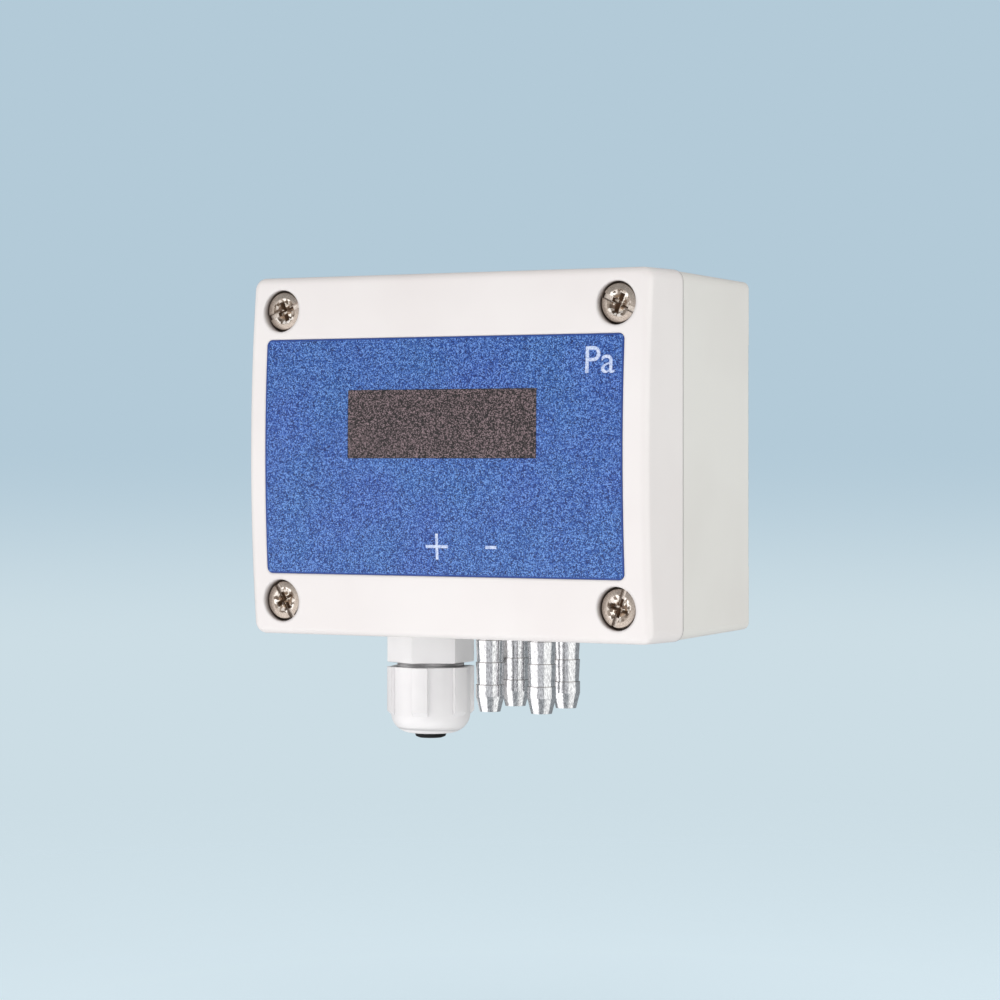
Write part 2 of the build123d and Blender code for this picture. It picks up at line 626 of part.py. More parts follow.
def gland_nut():
    """Domed clamping nut with six wide grip ribs."""
    shoulder_r = NUT_BODY_R
    arc_start = (shoulder_r, NUT_LOW_Z + NUT_DOME_R)
    arc_end = (NUT_FLAT_R, NUT_LOW_Z)
    top = (NUT_THREAD_R + SLACK, NUT_TOP_Z)
    outline = Line(top, (shoulder_r, NUT_TOP_Z)) + Line((shoulder_r, NUT_TOP_Z), arc_start)
    dome_centre = (NUT_FLAT_R, NUT_LOW_Z + NUT_DOME_R)
    outline += EllipticalCenterArc(dome_centre, shoulder_r - NUT_FLAT_R, NUT_DOME_R, 270, arc_size=90)
    opening = (SEAL_NOSE_R + FIT, NUT_LOW_Z)
    floor = (SEAL_NOSE_R + FIT, NUT_FLOOR_Z)
    claw_r = SEAL_R + FIT + CLAW_WALL
    throat = (claw_r + 2 * FIT, NUT_FLOOR_Z)
    relief = (claw_r + 2 * FIT, THREAD_LOW_Z - 1)
    thread = (NUT_THREAD_R + SLACK, THREAD_LOW_Z - FIT)
    outline += Polyline(arc_end, opening, floor, throat, relief, thread, top)
    nut = revolve(Plane.XZ * make_face(outline), Axis.Z)
    rib = CenterArc((0, 0), NUT_RIB_R, -90 - NUT_RIB_ANGLE / 2, NUT_RIB_ANGLE)
    sector = make_face(Polyline(rib @ 1, (0, 0), rib @ 0) + rib)
    rib_block = extrude(Plane.XY.offset(NUT_TOP_Z - NUT_RIB_LENGTH) * sector, NUT_RIB_LENGTH)
    low_z = NUT_TOP_Z - NUT_RIB_LENGTH
    cone_height = NUT_RIB_LENGTH + NUT_RIB_RUNOUT
    rib_cone = Cone(NUT_BODY_R - NUT_RIB_ROOT / 2, NUT_RIB_R + NUT_RIB_LENGTH, cone_height)
    rib_block = rib_block & (Pos(0, 0, low_z + cone_height / 2) * rib_cone)
    rib_block -= Cylinder(NUT_BODY_R - NUT_RIB_ROOT, 3 * HEIGHT)
    for index in range(NUT_RIB_COUNT):
        nut += Rot(0, 0, NUT_RIB_TURN + index * 360 / NUT_RIB_COUNT) * rib_block
    return Pos(GLAND_X, GLAND_Y, 0) * nut


# Hose-barb nozzles


def nozzle(x, y):
    """Turned nozzle: spigot and thread inside the box, three barbs and a tapered tip below it."""
    seat_z = nozzle_seat_z(y)
    nut_top = ENTRY_PAD_Z + NOZZLE_NUT_HEIGHT
    points = [
        (NOZZLE_BORE_R, nut_top + SPIGOT_LENGTH),
        (SPIGOT_R - SPIGOT_TAPER, nut_top + SPIGOT_LENGTH),
        (SPIGOT_R, nut_top + SPIGOT_LENGTH - SPIGOT_TAPER_LENGTH),
        (SPIGOT_R, nut_top),
        (NOZZLE_THREAD_R, nut_top),
        (NOZZLE_THREAD_R, seat_z),
        (BARB_WAIST_R, seat_z),
    ]
    land_z = TIP_Z + TIP_LENGTH
    last_edge = land_z + BARB_LAND
    for index in range(BARB_COUNT - 1, 0, -1):
        edge_z = last_edge + index * BARB_PITCH
        points.append((BARB_WAIST_R, edge_z))
        points.append((BARB_R, edge_z))
    points.append((BARB_WAIST_R, last_edge))
    points.append((BARB_R, last_edge))
    points.append((BARB_R, land_z))
    points.append((TIP_R, TIP_Z))
    points.append((NOZZLE_BORE_R, TIP_Z))
    return turned(points, x, y)


def nozzle_nut(x, y):
    """Hexagon nut that holds a nozzle from inside."""
    nut = extrude(Plane.XY.offset(ENTRY_PAD_Z) * hexagon(NOZZLE_NUT_AF, 0), NOZZLE_NUT_HEIGHT)
    nut -= Cylinder(NOZZLE_THREAD_R + SLACK, 3 * HEIGHT)
    return Pos(x, y, 0) * nut


def pressure_tube(x, y, port_x):
    """Silicone tube from a nozzle's spigot to a sensor's port, along straight runs and tangent arcs."""
    rise = FRONT_TUBE_RISE if y == FRONT_ROW_Y else BACK_TUBE_RISE
    start_z = ENTRY_PAD_Z + NOZZLE_NUT_HEIGHT + TUBE_END_GAP
    end_z = PORT_Z - TUBE_END_GAP
    points = [
        Vector(x, y, start_z),
        Vector(x, y, start_z + rise),
        Vector(port_x, PORT_Y, end_z - TUBE_DROP),
        Vector(port_x, PORT_Y, end_z),
    ]
    turn = radians((points[2] - points[1]).get_angle(Vector(0, 0, 1)))
    bend = TUBE_BEND_SHARE * min(rise, TUBE_DROP) / tan(turn / 2)
    path = FilletPolyline(*points, radius=[bend, bend])
    section = Plane(origin=path @ 0, z_dir=path % 0)
    wall = sweep(section * Circle(TUBE_R), path=path)
    return wall - sweep(section * Circle(TUBE_BORE_R), path=path)


# Circuit board and its parts


def board_outline(width, height, z):
    """Outline of a circuit board, centred on x = 0."""
    return Pos(0, z) * RectangleRounded(width, height, BOARD_CORNER_R)


def main_board():
    """Printed circuit board on four bosses."""
    sheet = board_outline(BOARD_WIDTH, BOARD_HEIGHT, BOARD_Z)
    for side, level in CORNERS:
        sheet -= Pos(*board_hole(side, level)) * Circle(BOARD_HOLE_R)
        sheet -= Pos(side * SCREW_X, level * SCREW_Z) * Circle(PILLAR_R + BOARD_NOTCH)
    return forward(sheet, BOARD_BACK_Y, BOARD_THICK)


def pan_screw(x, z, head_y):
    """Small pan-head screw with a cross recess, its head seated at head_y."""
    centre = Pos(x, z)
    head = forward(centre * Circle(BOARD_SCREW_HEAD_R), head_y, BOARD_SCREW_HEAD)
    head = fillet(head.faces().sort_by(Axis.Y)[0].edges(), BOARD_SCREW_HEAD / 3)
    top_y = head_y - BOARD_SCREW_HEAD
    for turn in (0, 90):
        arm = centre * Rot(0, 0, turn) * Rectangle(BOARD_CROSS_LENGTH, BOARD_CROSS_WIDTH)
        head -= forward(arm, top_y + BOARD_SCREW_HEAD / 2, BOARD_SCREW_HEAD)
    tip_y = head_y + BOARD_SCREW_LENGTH
    return head + forward(centre * Circle(BOARD_SCREW_R), tip_y, BOARD_SCREW_LENGTH)


def board_screws():
    """The four screws that hold the main board."""
    places = [board_hole(side, level) for side, level in CORNERS]
    return Compound(children=[pan_screw(x, z, BOARD_Y) for x, z in places])


def sensor(x):
    """Pressure sensor: a moulded case with a lid step and two ports that point down."""
    low_z = SENSOR_Z - SENSOR_HEIGHT / 2
    high_z = SENSOR_Z + SENSOR_HEIGHT / 2
    half_w = SENSOR_WIDTH / 2
    case = block(x - half_w, x + half_w, BOARD_Y - SENSOR_DEPTH, BOARD_Y, low_z, high_z)
    case = fillet(case.edges().filter_by(Axis.Y), SENSOR_CORNER_R)
    front = case.faces().sort_by(Axis.Y)[0]
    case = chamfer(front.edges(), SENSOR_BEVEL)
    for port_x in (x - PORT_PITCH / 2, x + PORT_PITCH / 2):
        points = [
            (PORT_BORE_R, low_z + PORT_ROOT),
            (PORT_BORE_R, low_z - PORT_LENGTH),
            (SPIGOT_R - SPIGOT_TAPER, low_z - PORT_LENGTH),
            (SPIGOT_R, low_z - PORT_LENGTH + SPIGOT_TAPER_LENGTH),
            (SPIGOT_R, low_z + PORT_ROOT),
        ]
        case -= post(port_x, PORT_Y, PORT_BORE_R, low_z - 1, low_z + PORT_ROOT)
        case += turned(points, port_x, PORT_Y)
    return case


def terminal_x(index):
    """Centre of one pole of the terminal block."""
    return TERMINAL_X + (index - (TERMINAL_POLES - 1) / 2) * TERMINAL_PITCH


def terminal_block():
    """Screw terminal block: a wire entry below and a screw well in front for each pole."""
    width = TERMINAL_POLES * TERMINAL_PITCH + 2 * TERMINAL_WALL
    high_z = TERMINAL_LOW_Z + TERMINAL_HEIGHT
    front_y = BOARD_Y - TERMINAL_DEPTH
    half = width / 2
    body = block(TERMINAL_X - half, TERMINAL_X + half, front_y, BOARD_Y, TERMINAL_LOW_Z, high_z)
    front_edges = body.faces().sort_by(Axis.Y)[0].edges().filter_by(Axis.X)
    body = chamfer(front_edges, TERMINAL_BEVEL)
    centre_z = TERMINAL_LOW_Z + TERMINAL_HEIGHT / 2
    for index in range(TERMINAL_POLES):
        x = terminal_x(index)
        head_depth = TERMINAL_WELL_DEPTH + TERMINAL_SCREW_HEAD
        centre = Pos(x, centre_z)
        well = forward(centre * Circle(TERMINAL_SCREW_R + FIT), front_y + head_depth, BASE_DEPTH)
        stem_y = front_y + head_depth + TERMINAL_SCREW_LENGTH
        well += forward(centre * Circle(TERMINAL_STEM_R + FIT), stem_y, BASE_DEPTH)
        half_w = WIRE_HOLE_WIDTH / 2
        wire_y = stem_y - TERMINAL_SCREW_LENGTH / 2
        mouth = block(
            x - half_w,
            x + half_w,
            wire_y - WIRE_HOLE_HEIGHT / 2,
            wire_y + WIRE_HOLE_HEIGHT / 2,
            TERMINAL_LOW_Z - 1,
            TERMINAL_LOW_Z + WIRE_HOLE_DEPTH,
        )
        body -= well
        body -= mouth
    return body


def terminal_screw(index):
    """Clamping screw of one pole, in its well."""
    x = terminal_x(index)
    z = TERMINAL_LOW_Z + TERMINAL_HEIGHT / 2
    seat_y = BOARD_Y - TERMINAL_DEPTH + TERMINAL_WELL_DEPTH + TERMINAL_SCREW_HEAD
    head = forward(Pos(x, z) * Circle(TERMINAL_SCREW_R), seat_y, TERMINAL_SCREW_HEAD)
    slot = Pos(x, z) * Rectangle(3 * TERMINAL_SCREW_R, TERMINAL_SCREW_R / 3)
    head -= forward(slot, seat_y - TERMINAL_SCREW_HEAD / 2, TERMINAL_SCREW_HEAD)
    stem_length = TERMINAL_SCREW_LENGTH - FIT
    return head + forward(Pos(x, z) * Circle(TERMINAL_STEM_R), seat_y + stem_length, stem_length)


def zero_switch():
    """Tactile switch: a square case with a round opening for its button."""
    centre = Pos(SWITCH_X, SWITCH_Z)
    case = forward(centre * Rectangle(SWITCH_SIDE, SWITCH_SIDE), BOARD_Y, SWITCH_HEIGHT)
    case = fillet(case.edges().filter_by(Axis.Y), SWITCH_CORNER_R)
    well_y = BOARD_Y - SWITCH_HEIGHT / 2 + BUTTON_TRAVEL
    return case - forward(centre * Circle(BUTTON_R + SLACK), well_y, SWITCH_HEIGHT)


def zero_button():
    """Round button that sets the zero point."""
    start_y = BOARD_Y - SWITCH_HEIGHT / 2 - SLACK
    length = SWITCH_HEIGHT / 2 - SLACK + BUTTON_OUT
    button = forward(Pos(SWITCH_X, SWITCH_Z) * Circle(BUTTON_R), start_y, length)
    return chamfer(button.faces().sort_by(Axis.Y)[0].edges(), BUTTON_BEVEL)


def jumper_pins():
    """Two square pins in a moulded base."""
    base = Rectangle(2 * PIN_PITCH, PIN_PITCH)
    body = forward(Pos(JUMPER_X, JUMPER_Z) * base, BOARD_Y, PIN_BASE_HEIGHT)
    for side in (-1, 1):
        pin = Pos(JUMPER_X + side * PIN_PITCH / 2, JUMPER_Z) * Rectangle(PIN_SIDE, PIN_SIDE)
        body += forward(pin, BOARD_Y, PIN_BASE_HEIGHT + PIN_OUT)
    return body


def jumper_shunt():
    """Cap that bridges the two pins and pulls off."""
    y = BOARD_Y - PIN_BASE_HEIGHT
    cap = Pos(JUMPER_X, JUMPER_Z) * Rectangle(2 * PIN_PITCH, PIN_PITCH)
    body = forward(cap, y, SHUNT_HEIGHT + SHUNT_WALL)
    for side in (-1, 1):
        hole = Pos(JUMPER_X + side * PIN_PITCH / 2, JUMPER_Z) * Rectangle(PIN_SIDE + FIT, PIN_SIDE + FIT)
        body -= forward(hole, y, PIN_OUT + FIT)
    return body


def microcontroller():
    """Square flat chip with a row of leads on each side."""
    centre = Pos(CONTROLLER_X, CONTROLLER_Z)
    chip = forward(centre * Rectangle(CONTROLLER_SIDE, CONTROLLER_SIDE), BOARD_Y, CONTROLLER_HEIGHT)
    chip = chamfer(chip.faces().sort_by(Axis.Y)[0].edges(), CONTROLLER_BEVEL)
    reach = CONTROLLER_SIDE / 2 + LEAD_LENGTH / 2 - FIT
    for quarter in range(4):
        for index in range(LEAD_COUNT):
            offset = (index - (LEAD_COUNT - 1) / 2) * CONTROLLER_SIDE / (LEAD_COUNT + 2)
            lead = Rot(0, 0, quarter * 90) * Pos(offset, reach) * Rectangle(LEAD_WIDTH, LEAD_LENGTH)
            chip += forward(centre * lead, BOARD_Y, CONTROLLER_HEIGHT / 3)
    return chip


def capacitors():
    """Two electrolytic cans with a bead round the foot."""
    cans = []
    for z in (CAPACITOR_Z, CAPACITOR_Z + CAPACITOR_PITCH):
        centre = Pos(CAPACITOR_X, z)
        can = forward(centre * Circle(CAPACITOR_R), BOARD_Y, CAPACITOR_HEIGHT)
        can = fillet(can.faces().sort_by(Axis.Y)[0].edges(), CAPACITOR_RIM)
        bead = Circle(CAPACITOR_R + 1) - Circle(CAPACITOR_R - BEAD_DEPTH)
        can -= forward(centre * bead, BOARD_Y - BEAD_UP, BEAD_WIDTH)
        cans.append(can)
    return Compound(children=cans)


def power_inductor():
    """Shielded coil of the supply: a square case with cut corners round a core."""
    centre = Pos(INDUCTOR_X, INDUCTOR_Z)
    shape = RectangleRounded(INDUCTOR_SIDE, INDUCTOR_SIDE, INDUCTOR_SIDE / 5)
    body = forward(centre * shape, BOARD_Y, INDUCTOR_HEIGHT)
    ring = Circle(INDUCTOR_CORE_R + INDUCTOR_RING) - Circle(INDUCTOR_CORE_R)
    ring_y = BOARD_Y - INDUCTOR_HEIGHT + INDUCTOR_RING_DEPTH
    return body - forward(centre * ring, ring_y, INDUCTOR_HEIGHT)


def status_leds():
    """Row of small indicator lamps on the main board."""
    lamps = []
    for index in range(LED_COUNT):
        centre = Pos(LED_X + index * LED_PITCH, LED_Z)
        lamp = forward(centre * Rectangle(LED_WIDTH, LED_DOME), BOARD_Y, LED_HEIGHT / 2)
        lamp += forward(centre * Rectangle(LED_DOME, LED_DOME), BOARD_Y, LED_HEIGHT)
        lamps.append(lamp)
    return Compound(children=lamps)


# Display


def display_standoffs():
    """Four hexagon pillars that carry the display board."""
    pillars = []
    for side, level in CORNERS:
        centre = Pos(side * STANDOFF_X, WINDOW_Z + level * STANDOFF_Z)
        shape = centre * RegularPolygon(STANDOFF_AF / 2, 6, major_radius=False)
        shape -= centre * Circle(BOARD_SCREW_R + SLACK)
        pillars.append(forward(shape, BOARD_Y, BOARD_Y - DISPLAY_BOARD_BACK_Y))
    return Compound(children=pillars)


def display_board():
    """Small circuit board behind the display."""
    sheet = board_outline(DISPLAY_BOARD_WIDTH, DISPLAY_BOARD_HEIGHT, WINDOW_Z)
    for side, level in CORNERS:
        sheet -= Pos(side * STANDOFF_X, WINDOW_Z + level * STANDOFF_Z) * Circle(BOARD_HOLE_R)
    return forward(sheet, DISPLAY_BOARD_BACK_Y, BOARD_THICK)


def display_screws():
    """The four screws that hold the display board to its pillars."""
    screws = []
    for side, level in CORNERS:
        screws.append(pan_screw(side * STANDOFF_X, WINDOW_Z + level * STANDOFF_Z, DISPLAY_BACK_Y))
    return Compound(children=screws)


def display_header():
    """Row of long pins between the two boards, in a moulded bar at each end."""
    width = HEADER_PINS * PIN_PITCH
    bar = Pos(0, HEADER_Z) * Rectangle(width, PIN_PITCH)
    body = forward(bar, BOARD_Y, PIN_BASE_HEIGHT)
    body += forward(bar, DISPLAY_BOARD_BACK_Y + PIN_BASE_HEIGHT, PIN_BASE_HEIGHT)
    for index in range(HEADER_PINS):
        x = (index - (HEADER_PINS - 1) / 2) * PIN_PITCH
        pin = Pos(x, HEADER_Z) * Rectangle(PIN_SIDE, PIN_SIDE)
        body += forward(pin, BOARD_Y, BOARD_Y - DISPLAY_BOARD_BACK_Y)
    return body


def digit(x):
    """Seven segments of one figure, slightly slanted."""
    half_w = DIGIT_WIDTH / 2
    half_h = DIGIT_HEIGHT / 2
    long_bar = DIGIT_WIDTH - 1.2 * SEGMENT_WIDTH
    tall_bar = half_h - 1.2 * SEGMENT_WIDTH
    shapes = []
    for level in (-1, 0, 1):
        shapes.append(Pos(0, level * (half_h - SEGMENT_WIDTH / 2)) * Rectangle(long_bar, SEGMENT_WIDTH))
    for side in (-1, 1):
        for level in (-1, 1):
            place = Pos(side * (half_w - SEGMENT_WIDTH / 2), level * half_h / 2)
            shapes.append(place * Rectangle(SEGMENT_WIDTH * 0.8, tall_bar))
    lean = tan(radians(DIGIT_SLANT))
    return [Pos(x + shape.center().Y * lean, WINDOW_Z) * shape for shape in shapes]


def led_display():
    """Four-figure display: a potted case with sunk segments."""
    case = Pos(0, WINDOW_Z) * Rectangle(DISPLAY_WIDTH, DISPLAY_HEIGHT)
    body = forward(case, DISPLAY_BACK_Y, DISPLAY_DEPTH)
    for index in range(DIGIT_COUNT):
        x = (index - (DIGIT_COUNT - 1) / 2) * DIGIT_PITCH
        for segment in digit(x):
            body -= forward(segment, DISPLAY_FRONT_Y + SEGMENT_SINK, 1)
    return body


def write(shape, name):
    """Write one piece to its own file."""
    export_step(shape, "parts/" + name + ".step")


os.makedirs("parts", exist_ok=True)

write(base_housing(), "base_housing")
write(cover(), "cover")
write(cover_gasket(), "cover_gasket")
write(front_label(), "front_label")
write(display_window(), "display_window")
for number, (side, level) in enumerate(CORNERS, start=1):
    write(cover_screw(side, level, SLOT_TURNS[number - 1]), f"cover_screw_{number}")
    write(screw_retainer(side, level), f"screw_retainer_{number}")

write(gland_body(), "gland_body")
write(gland_o_ring(), "gland_o_ring")
write(gland_locknut(), "gland_locknut")
write(gland_seal(), "gland_seal")
write(gland_nut(), "gland_nut")

for number, (x, y) in enumerate(NOZZLE_PLACES, start=1):
    write(nozzle(x, y), f"nozzle_{number}")
    write(nozzle_nut(x, y), f"nozzle_nut_{number}")
    write(pressure_tube(x, y, PORT_XS[number - 1]), f"pressure_tube_{number}")

write(main_board(), "main_board")
write(board_screws(), "board_screws")
write(sensor(SENSOR_1_X), "pressure_sensor_1")
write(sensor(SENSOR_2_X), "pressure_sensor_2")
write(terminal_block(), "terminal_block")
for index in range(TERMINAL_POLES):
    write(terminal_screw(index), f"terminal_screw_{index + 1}")
write(zero_switch(), "zero_switch")
write(zero_button(), "zero_button")
write(jumper_pins(), "jumper_pins")
write(jumper_shunt(), "jumper_shunt")
write(microcontroller(), "microcontroller")
write(capacitors(), "capacitors")
write(power_inductor(), "power_inductor")
write(status_leds(), "status_leds")
write(display_standoffs(), "display_standoffs")
write(display_board(), "display_board")
write(display_screws(), "display_screws")
write(display_header(), "display_header")
write(led_display(), "led_display")
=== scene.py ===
# %% [markdown]
# # Dressing a differential pressure transmitter
#
# The object is a wall box that compares two air pressures, as in a ventilation duct. It has a moulded
# cover with a printed label, a cable gland and four hose nozzles. Its solids come from a CAD model
# and never change here. This lesson lights them, photographs them, gives each surface its finish, and
# adds what is too fine for the CAD model: printing, and the small parts and copper of the circuit board.
#
# Everything is in metres, in the frame of the solids: +X to the right, +Y into the wall, +Z up.

# %% The solids
import math

import bmesh
import bpy
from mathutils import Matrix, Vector


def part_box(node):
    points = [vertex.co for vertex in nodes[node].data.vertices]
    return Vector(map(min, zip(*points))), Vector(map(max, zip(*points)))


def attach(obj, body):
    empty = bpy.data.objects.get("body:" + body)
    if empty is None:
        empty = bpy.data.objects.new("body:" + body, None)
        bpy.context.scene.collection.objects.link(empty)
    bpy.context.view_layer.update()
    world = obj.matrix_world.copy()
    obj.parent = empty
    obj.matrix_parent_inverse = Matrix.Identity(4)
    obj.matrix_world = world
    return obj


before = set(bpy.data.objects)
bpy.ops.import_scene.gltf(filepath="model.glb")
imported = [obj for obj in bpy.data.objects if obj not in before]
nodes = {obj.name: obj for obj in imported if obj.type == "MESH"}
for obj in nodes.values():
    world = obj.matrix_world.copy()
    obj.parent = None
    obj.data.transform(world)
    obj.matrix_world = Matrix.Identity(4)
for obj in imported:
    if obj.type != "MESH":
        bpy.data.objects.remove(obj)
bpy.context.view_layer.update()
scene = bpy.context.scene
scene.view_settings.view_transform = "Standard"
MM = 0.001

# %% [markdown]
# ## Helpers for materials
#
# Every surface here is a material made of nodes. They could be clicked together in the shader editor,
# but a script can be read, changed and run again. Colours are written as sRGB hex, the way a paint shop
# or a web page gives them. Shaders work in linear light, so one function converts. A second one adds any
# node, sets it and links it, and hands back what the node puts out. So a material reads as a short list
# of what happens to the light.


# %% Colour and node helpers
def linear(hex_colour, alpha=1.0):
    """Linear red, green, blue and alpha of an sRGB hex colour."""
    parts = [int(hex_colour[i : i + 2], 16) / 255 for i in (1, 3, 5)]
    return [p / 12.92 if p <= 0.04045 else ((p + 0.055) / 1.055) ** 2.4 for p in parts] + [alpha]


def add(tree, kind, inputs=None, out=0, stops=None, **settings):
    """Adds a shader node and returns one of its outputs.

    inputs gives a socket a number, a colour or another node's output. stops gives a colour ramp its
    colours, lowest position first.
    """
    made = tree.nodes.new("ShaderNode" + kind)
    for name, value in settings.items():
        setattr(made, name, value)
    for name, value in (inputs or {}).items():
        if isinstance(value, bpy.types.NodeSocket):
            tree.links.new(value, made.inputs[name])
        else:
            made.inputs[name].default_value = value
    for number, (position, colour) in enumerate((stops or {}).items()):
        ramp = made.color_ramp.elements
        stop = ramp[number] if number < 2 else ramp.new(position)
        stop.position = position
        stop.color = linear(colour)
    return made.outputs[out]


def finish(name, roughness, colour="#808080", ior=1.5, metallic=0.0, **sockets):
    """A new material: itself, its node tree, its shader, and where a point is in the frame."""
    made = bpy.data.materials.new(name)
    made.use_nodes = True
    shader = made.node_tree.nodes["Principled BSDF"]
    shader.inputs["Base Color"].default_value = linear(colour)
    shader.inputs["Roughness"].default_value = roughness
    shader.inputs["Metallic"].default_value = metallic
    if not metallic:
        shader.inputs["IOR"].default_value = ior
    for socket, value in sockets.items():
        shader.inputs[socket.replace("_", " ")].default_value = value
    return made, made.node_tree, shader, add(made.node_tree, "TexCoord", out="Object")


def wire(tree, shader, **sockets):
    """Links outputs to the shader's sockets of these names."""
    for socket, output in sockets.items():
        tree.links.new(output, shader.inputs[socket.replace("_", " ")])


def per_mm(size_mm):
    """The scale that gives a texture features of this size."""
    return 1 / (size_mm * MM)


def relief(tree, shader, height, depth_mm, edge_mm=0.0):
    """Bump of a real depth, over edges that are broken by edge_mm."""
    inputs = {"Height": height, "Strength": 1.0, "Distance": depth_mm * MM}
    if edge_mm:
        inputs["Normal"] = add(tree, "Bevel", {"Radius": edge_mm * MM}, samples=6)
    wire(tree, shader, Normal=add(tree, "Bump", inputs))


def paint(names, material):
    """Gives the material to these solids."""
    for name in names:
        for used in nodes[name].material_slots:
            used.material = material
    print(material.name, "on", ", ".join(names))


print("a texture of 0.5 mm has scale", per_mm(0.5))

# %% [markdown]
# ## The camera
#
# The box was photographed level with its middle, 31 degrees to its right, with a long lens. The camera
# could be tilted until the box sits where it does in the picture, but then upright edges would lean.
# So it stays level, and the frame is shifted instead, as with a view camera.

# %% Camera
CAMERA_PLACE, CAMERA_TURN = (0.45030, -0.77604, 0), 31.07
LENS_MM, SENSOR_MM, FRAME_SHIFT = 124.6, 36, -0.04426
camera = bpy.data.objects.new("camera", bpy.data.cameras.new("camera"))
scene.collection.objects.link(camera)
scene.camera = camera
camera.location = CAMERA_PLACE
camera.rotation_euler = (math.radians(90), 0, math.radians(CAMERA_TURN))
camera.data.lens = LENS_MM
camera.data.sensor_width = SENSOR_MM
camera.data.shift_y = FRAME_SHIFT
camera.data.clip_start = 0.05
print("camera", round(Vector(CAMERA_PLACE).length, 3), "m away")

# %% [markdown]
# ## Light
#
# The four bright nozzles are small mirrors that show how the studio was lit: each has two broad white
# bands with grey between and beside them, and the bands run down over the tapered tips. So two large
# soft boxes stood left and right of the camera, and reached well below the object. Their directions
# follow from the bands, because a mirror doubles the angle. The grey between them is a card in front. A
# lamp is given by the angles that it fills as the object sees it, and by its glow, where 1 is a fully
# lit sheet of white paper.


# %% Soft boxes
def soft_box(name, azimuth, elevation, spread, rise, glow, colour, distance=1.4):
    """An area lamp that faces the object and fills plus and minus spread by rise degrees of its view."""
    light = bpy.data.lights.new(name, "AREA")
    light.shape = "RECTANGLE"
    light.size = 2 * distance * math.tan(math.radians(spread))
    light.size_y = 2 * distance * math.tan(math.radians(rise))
    light.energy = glow * math.pi * light.size * light.size_y
    light.color = linear(colour)[:3]
    lamp = bpy.data.objects.new(name, light)
    turn, tilt = math.radians(azimuth), math.radians(elevation)
    level = Vector((math.sin(turn), -math.cos(turn), 0)) * math.cos(tilt)
    lamp.location = distance * (level + Vector((0, 0, math.sin(tilt))))
    lamp.rotation_euler = (-lamp.location).to_track_quat("-Z", "Y").to_euler()
    scene.collection.objects.link(lamp)
    print(name, "of", round(light.energy, 1), "W")


soft_box("left soft box", -37, -18, 33, 28, 1.39, "#fffcfb")
soft_box("right soft box", 81, -2, 33, 36, 0.92, "#fffefa", 0.5)
soft_box("front card", 22, -2, 24, 30, 0.36, "#fffbfd")
soft_box("low soft box", 25, -62, 24, 14, 1.6, "#fbfdff")
soft_box("top soft box", 20, 66, 20, 16, 1.2, "#fff0ea")

# %% [markdown]
# ## Room and floor
#
# The backdrop is a plain pale blue that gets lighter towards the floor. A curved sheet behind the object
# could show it, but it would end somewhere in the views from the sides. So the world has those colours,
# for whatever looks straight at it or through glass. A mirror sees the grey room behind the camera
# instead, and matt surfaces get a neutral fill, so that the backdrop doesn't tint the white box.
#
# The floor is a wide disc that fades into the backdrop. Only a camera above it sees it, like a glass
# table that lets the low lamp through, and it keeps the object's shadow.

# %% World
BACKDROP_HIGH, BACKDROP_LOW, ROOM_GREY, FILL = "#b3cad8", "#ccdde5", "#9aa0a4", 0.45
LIGHTENS_FROM, LIGHTENS_TO = 0.005, -0.055
scene.world = bpy.data.worlds.new("studio")
scene.world.use_nodes = True
room = scene.world.node_tree
room.nodes.clear()
height = add(room, "SeparateXYZ", {0: add(room, "TexCoord", out="Generated")}, out="Z")
fall = add(
    room, "MapRange", {"Value": height, 1: LIGHTENS_TO, 2: LIGHTENS_FROM}, interpolation_type="SMOOTHSTEP",
)
sweep = add(
    room, "Mix", {0: fall, 6: linear(BACKDROP_LOW), 7: linear(BACKDROP_HIGH)}, out=2, data_type="RGBA",
)
straight = add(room, "LightPath", out="Is Camera Ray")
through = add(room, "LightPath", out="Is Transmission Ray")
straight = add(room, "Math", {0: straight, 1: through}, operation="MAXIMUM")
mirrored = add(room, "LightPath", out="Is Glossy Ray")
fill = add(room, "Background", {"Color": linear("#ffffff"), "Strength": FILL})
grey = add(room, "Background", {"Color": linear(ROOM_GREY), "Strength": 1.0})
backdrop = add(room, "Background", {"Color": sweep, "Strength": 1.0})
either = add(room, "MixShader", {0: mirrored, 1: fill, 2: grey})
either = add(room, "MixShader", {0: straight, 1: either, 2: backdrop})
surroundings = room.nodes.new("ShaderNodeOutputWorld")
room.links.new(either, surroundings.inputs["Surface"])
print("world with", len(room.nodes), "nodes")

# %% Floor
FLOOR_Z, FLOOR_R, SOLID_R, FLOOR_GLOW = -0.150, 0.7, 0.15, 0.62
mesh = bpy.data.meshes.new("floor")
shape = bmesh.new()
bmesh.ops.create_circle(shape, cap_ends=True, segments=96, radius=FLOOR_R)
shape.to_mesh(mesh)
shape.free()
floor = bpy.data.objects.new("floor", mesh)
floor.location = (0, 0, FLOOR_Z)
scene.collection.objects.link(floor)
paper, tree, shader, spot = finish(
    "paper floor", 0.9, "#b4c3cb", Specular_IOR_Level=0.0, Emission_Strength=FLOOR_GLOW,
)
shader.inputs["Emission Color"].default_value = linear(BACKDROP_LOW)
away = add(tree, "VectorMath", {0: spot}, out="Value", operation="LENGTH")
fade = add(tree, "MapRange", {"Value": away, 1: 0.9 * FLOOR_R, 2: SOLID_R})
fade = add(tree, "Math", {0: fade, 1: add(tree, "LightPath", out="Is Camera Ray")}, operation="MULTIPLY")
beneath = add(tree, "NewGeometry", out="Backfacing")
fade = add(tree, "Math", {0: fade, 1: beneath}, operation="SUBTRACT")
fade = add(tree, "Math", {0: fade, 1: 0.0}, operation="MAXIMUM")
both = add(tree, "MixShader", {0: fade, 1: add(tree, "BsdfTransparent"), 2: shader.outputs[0]})
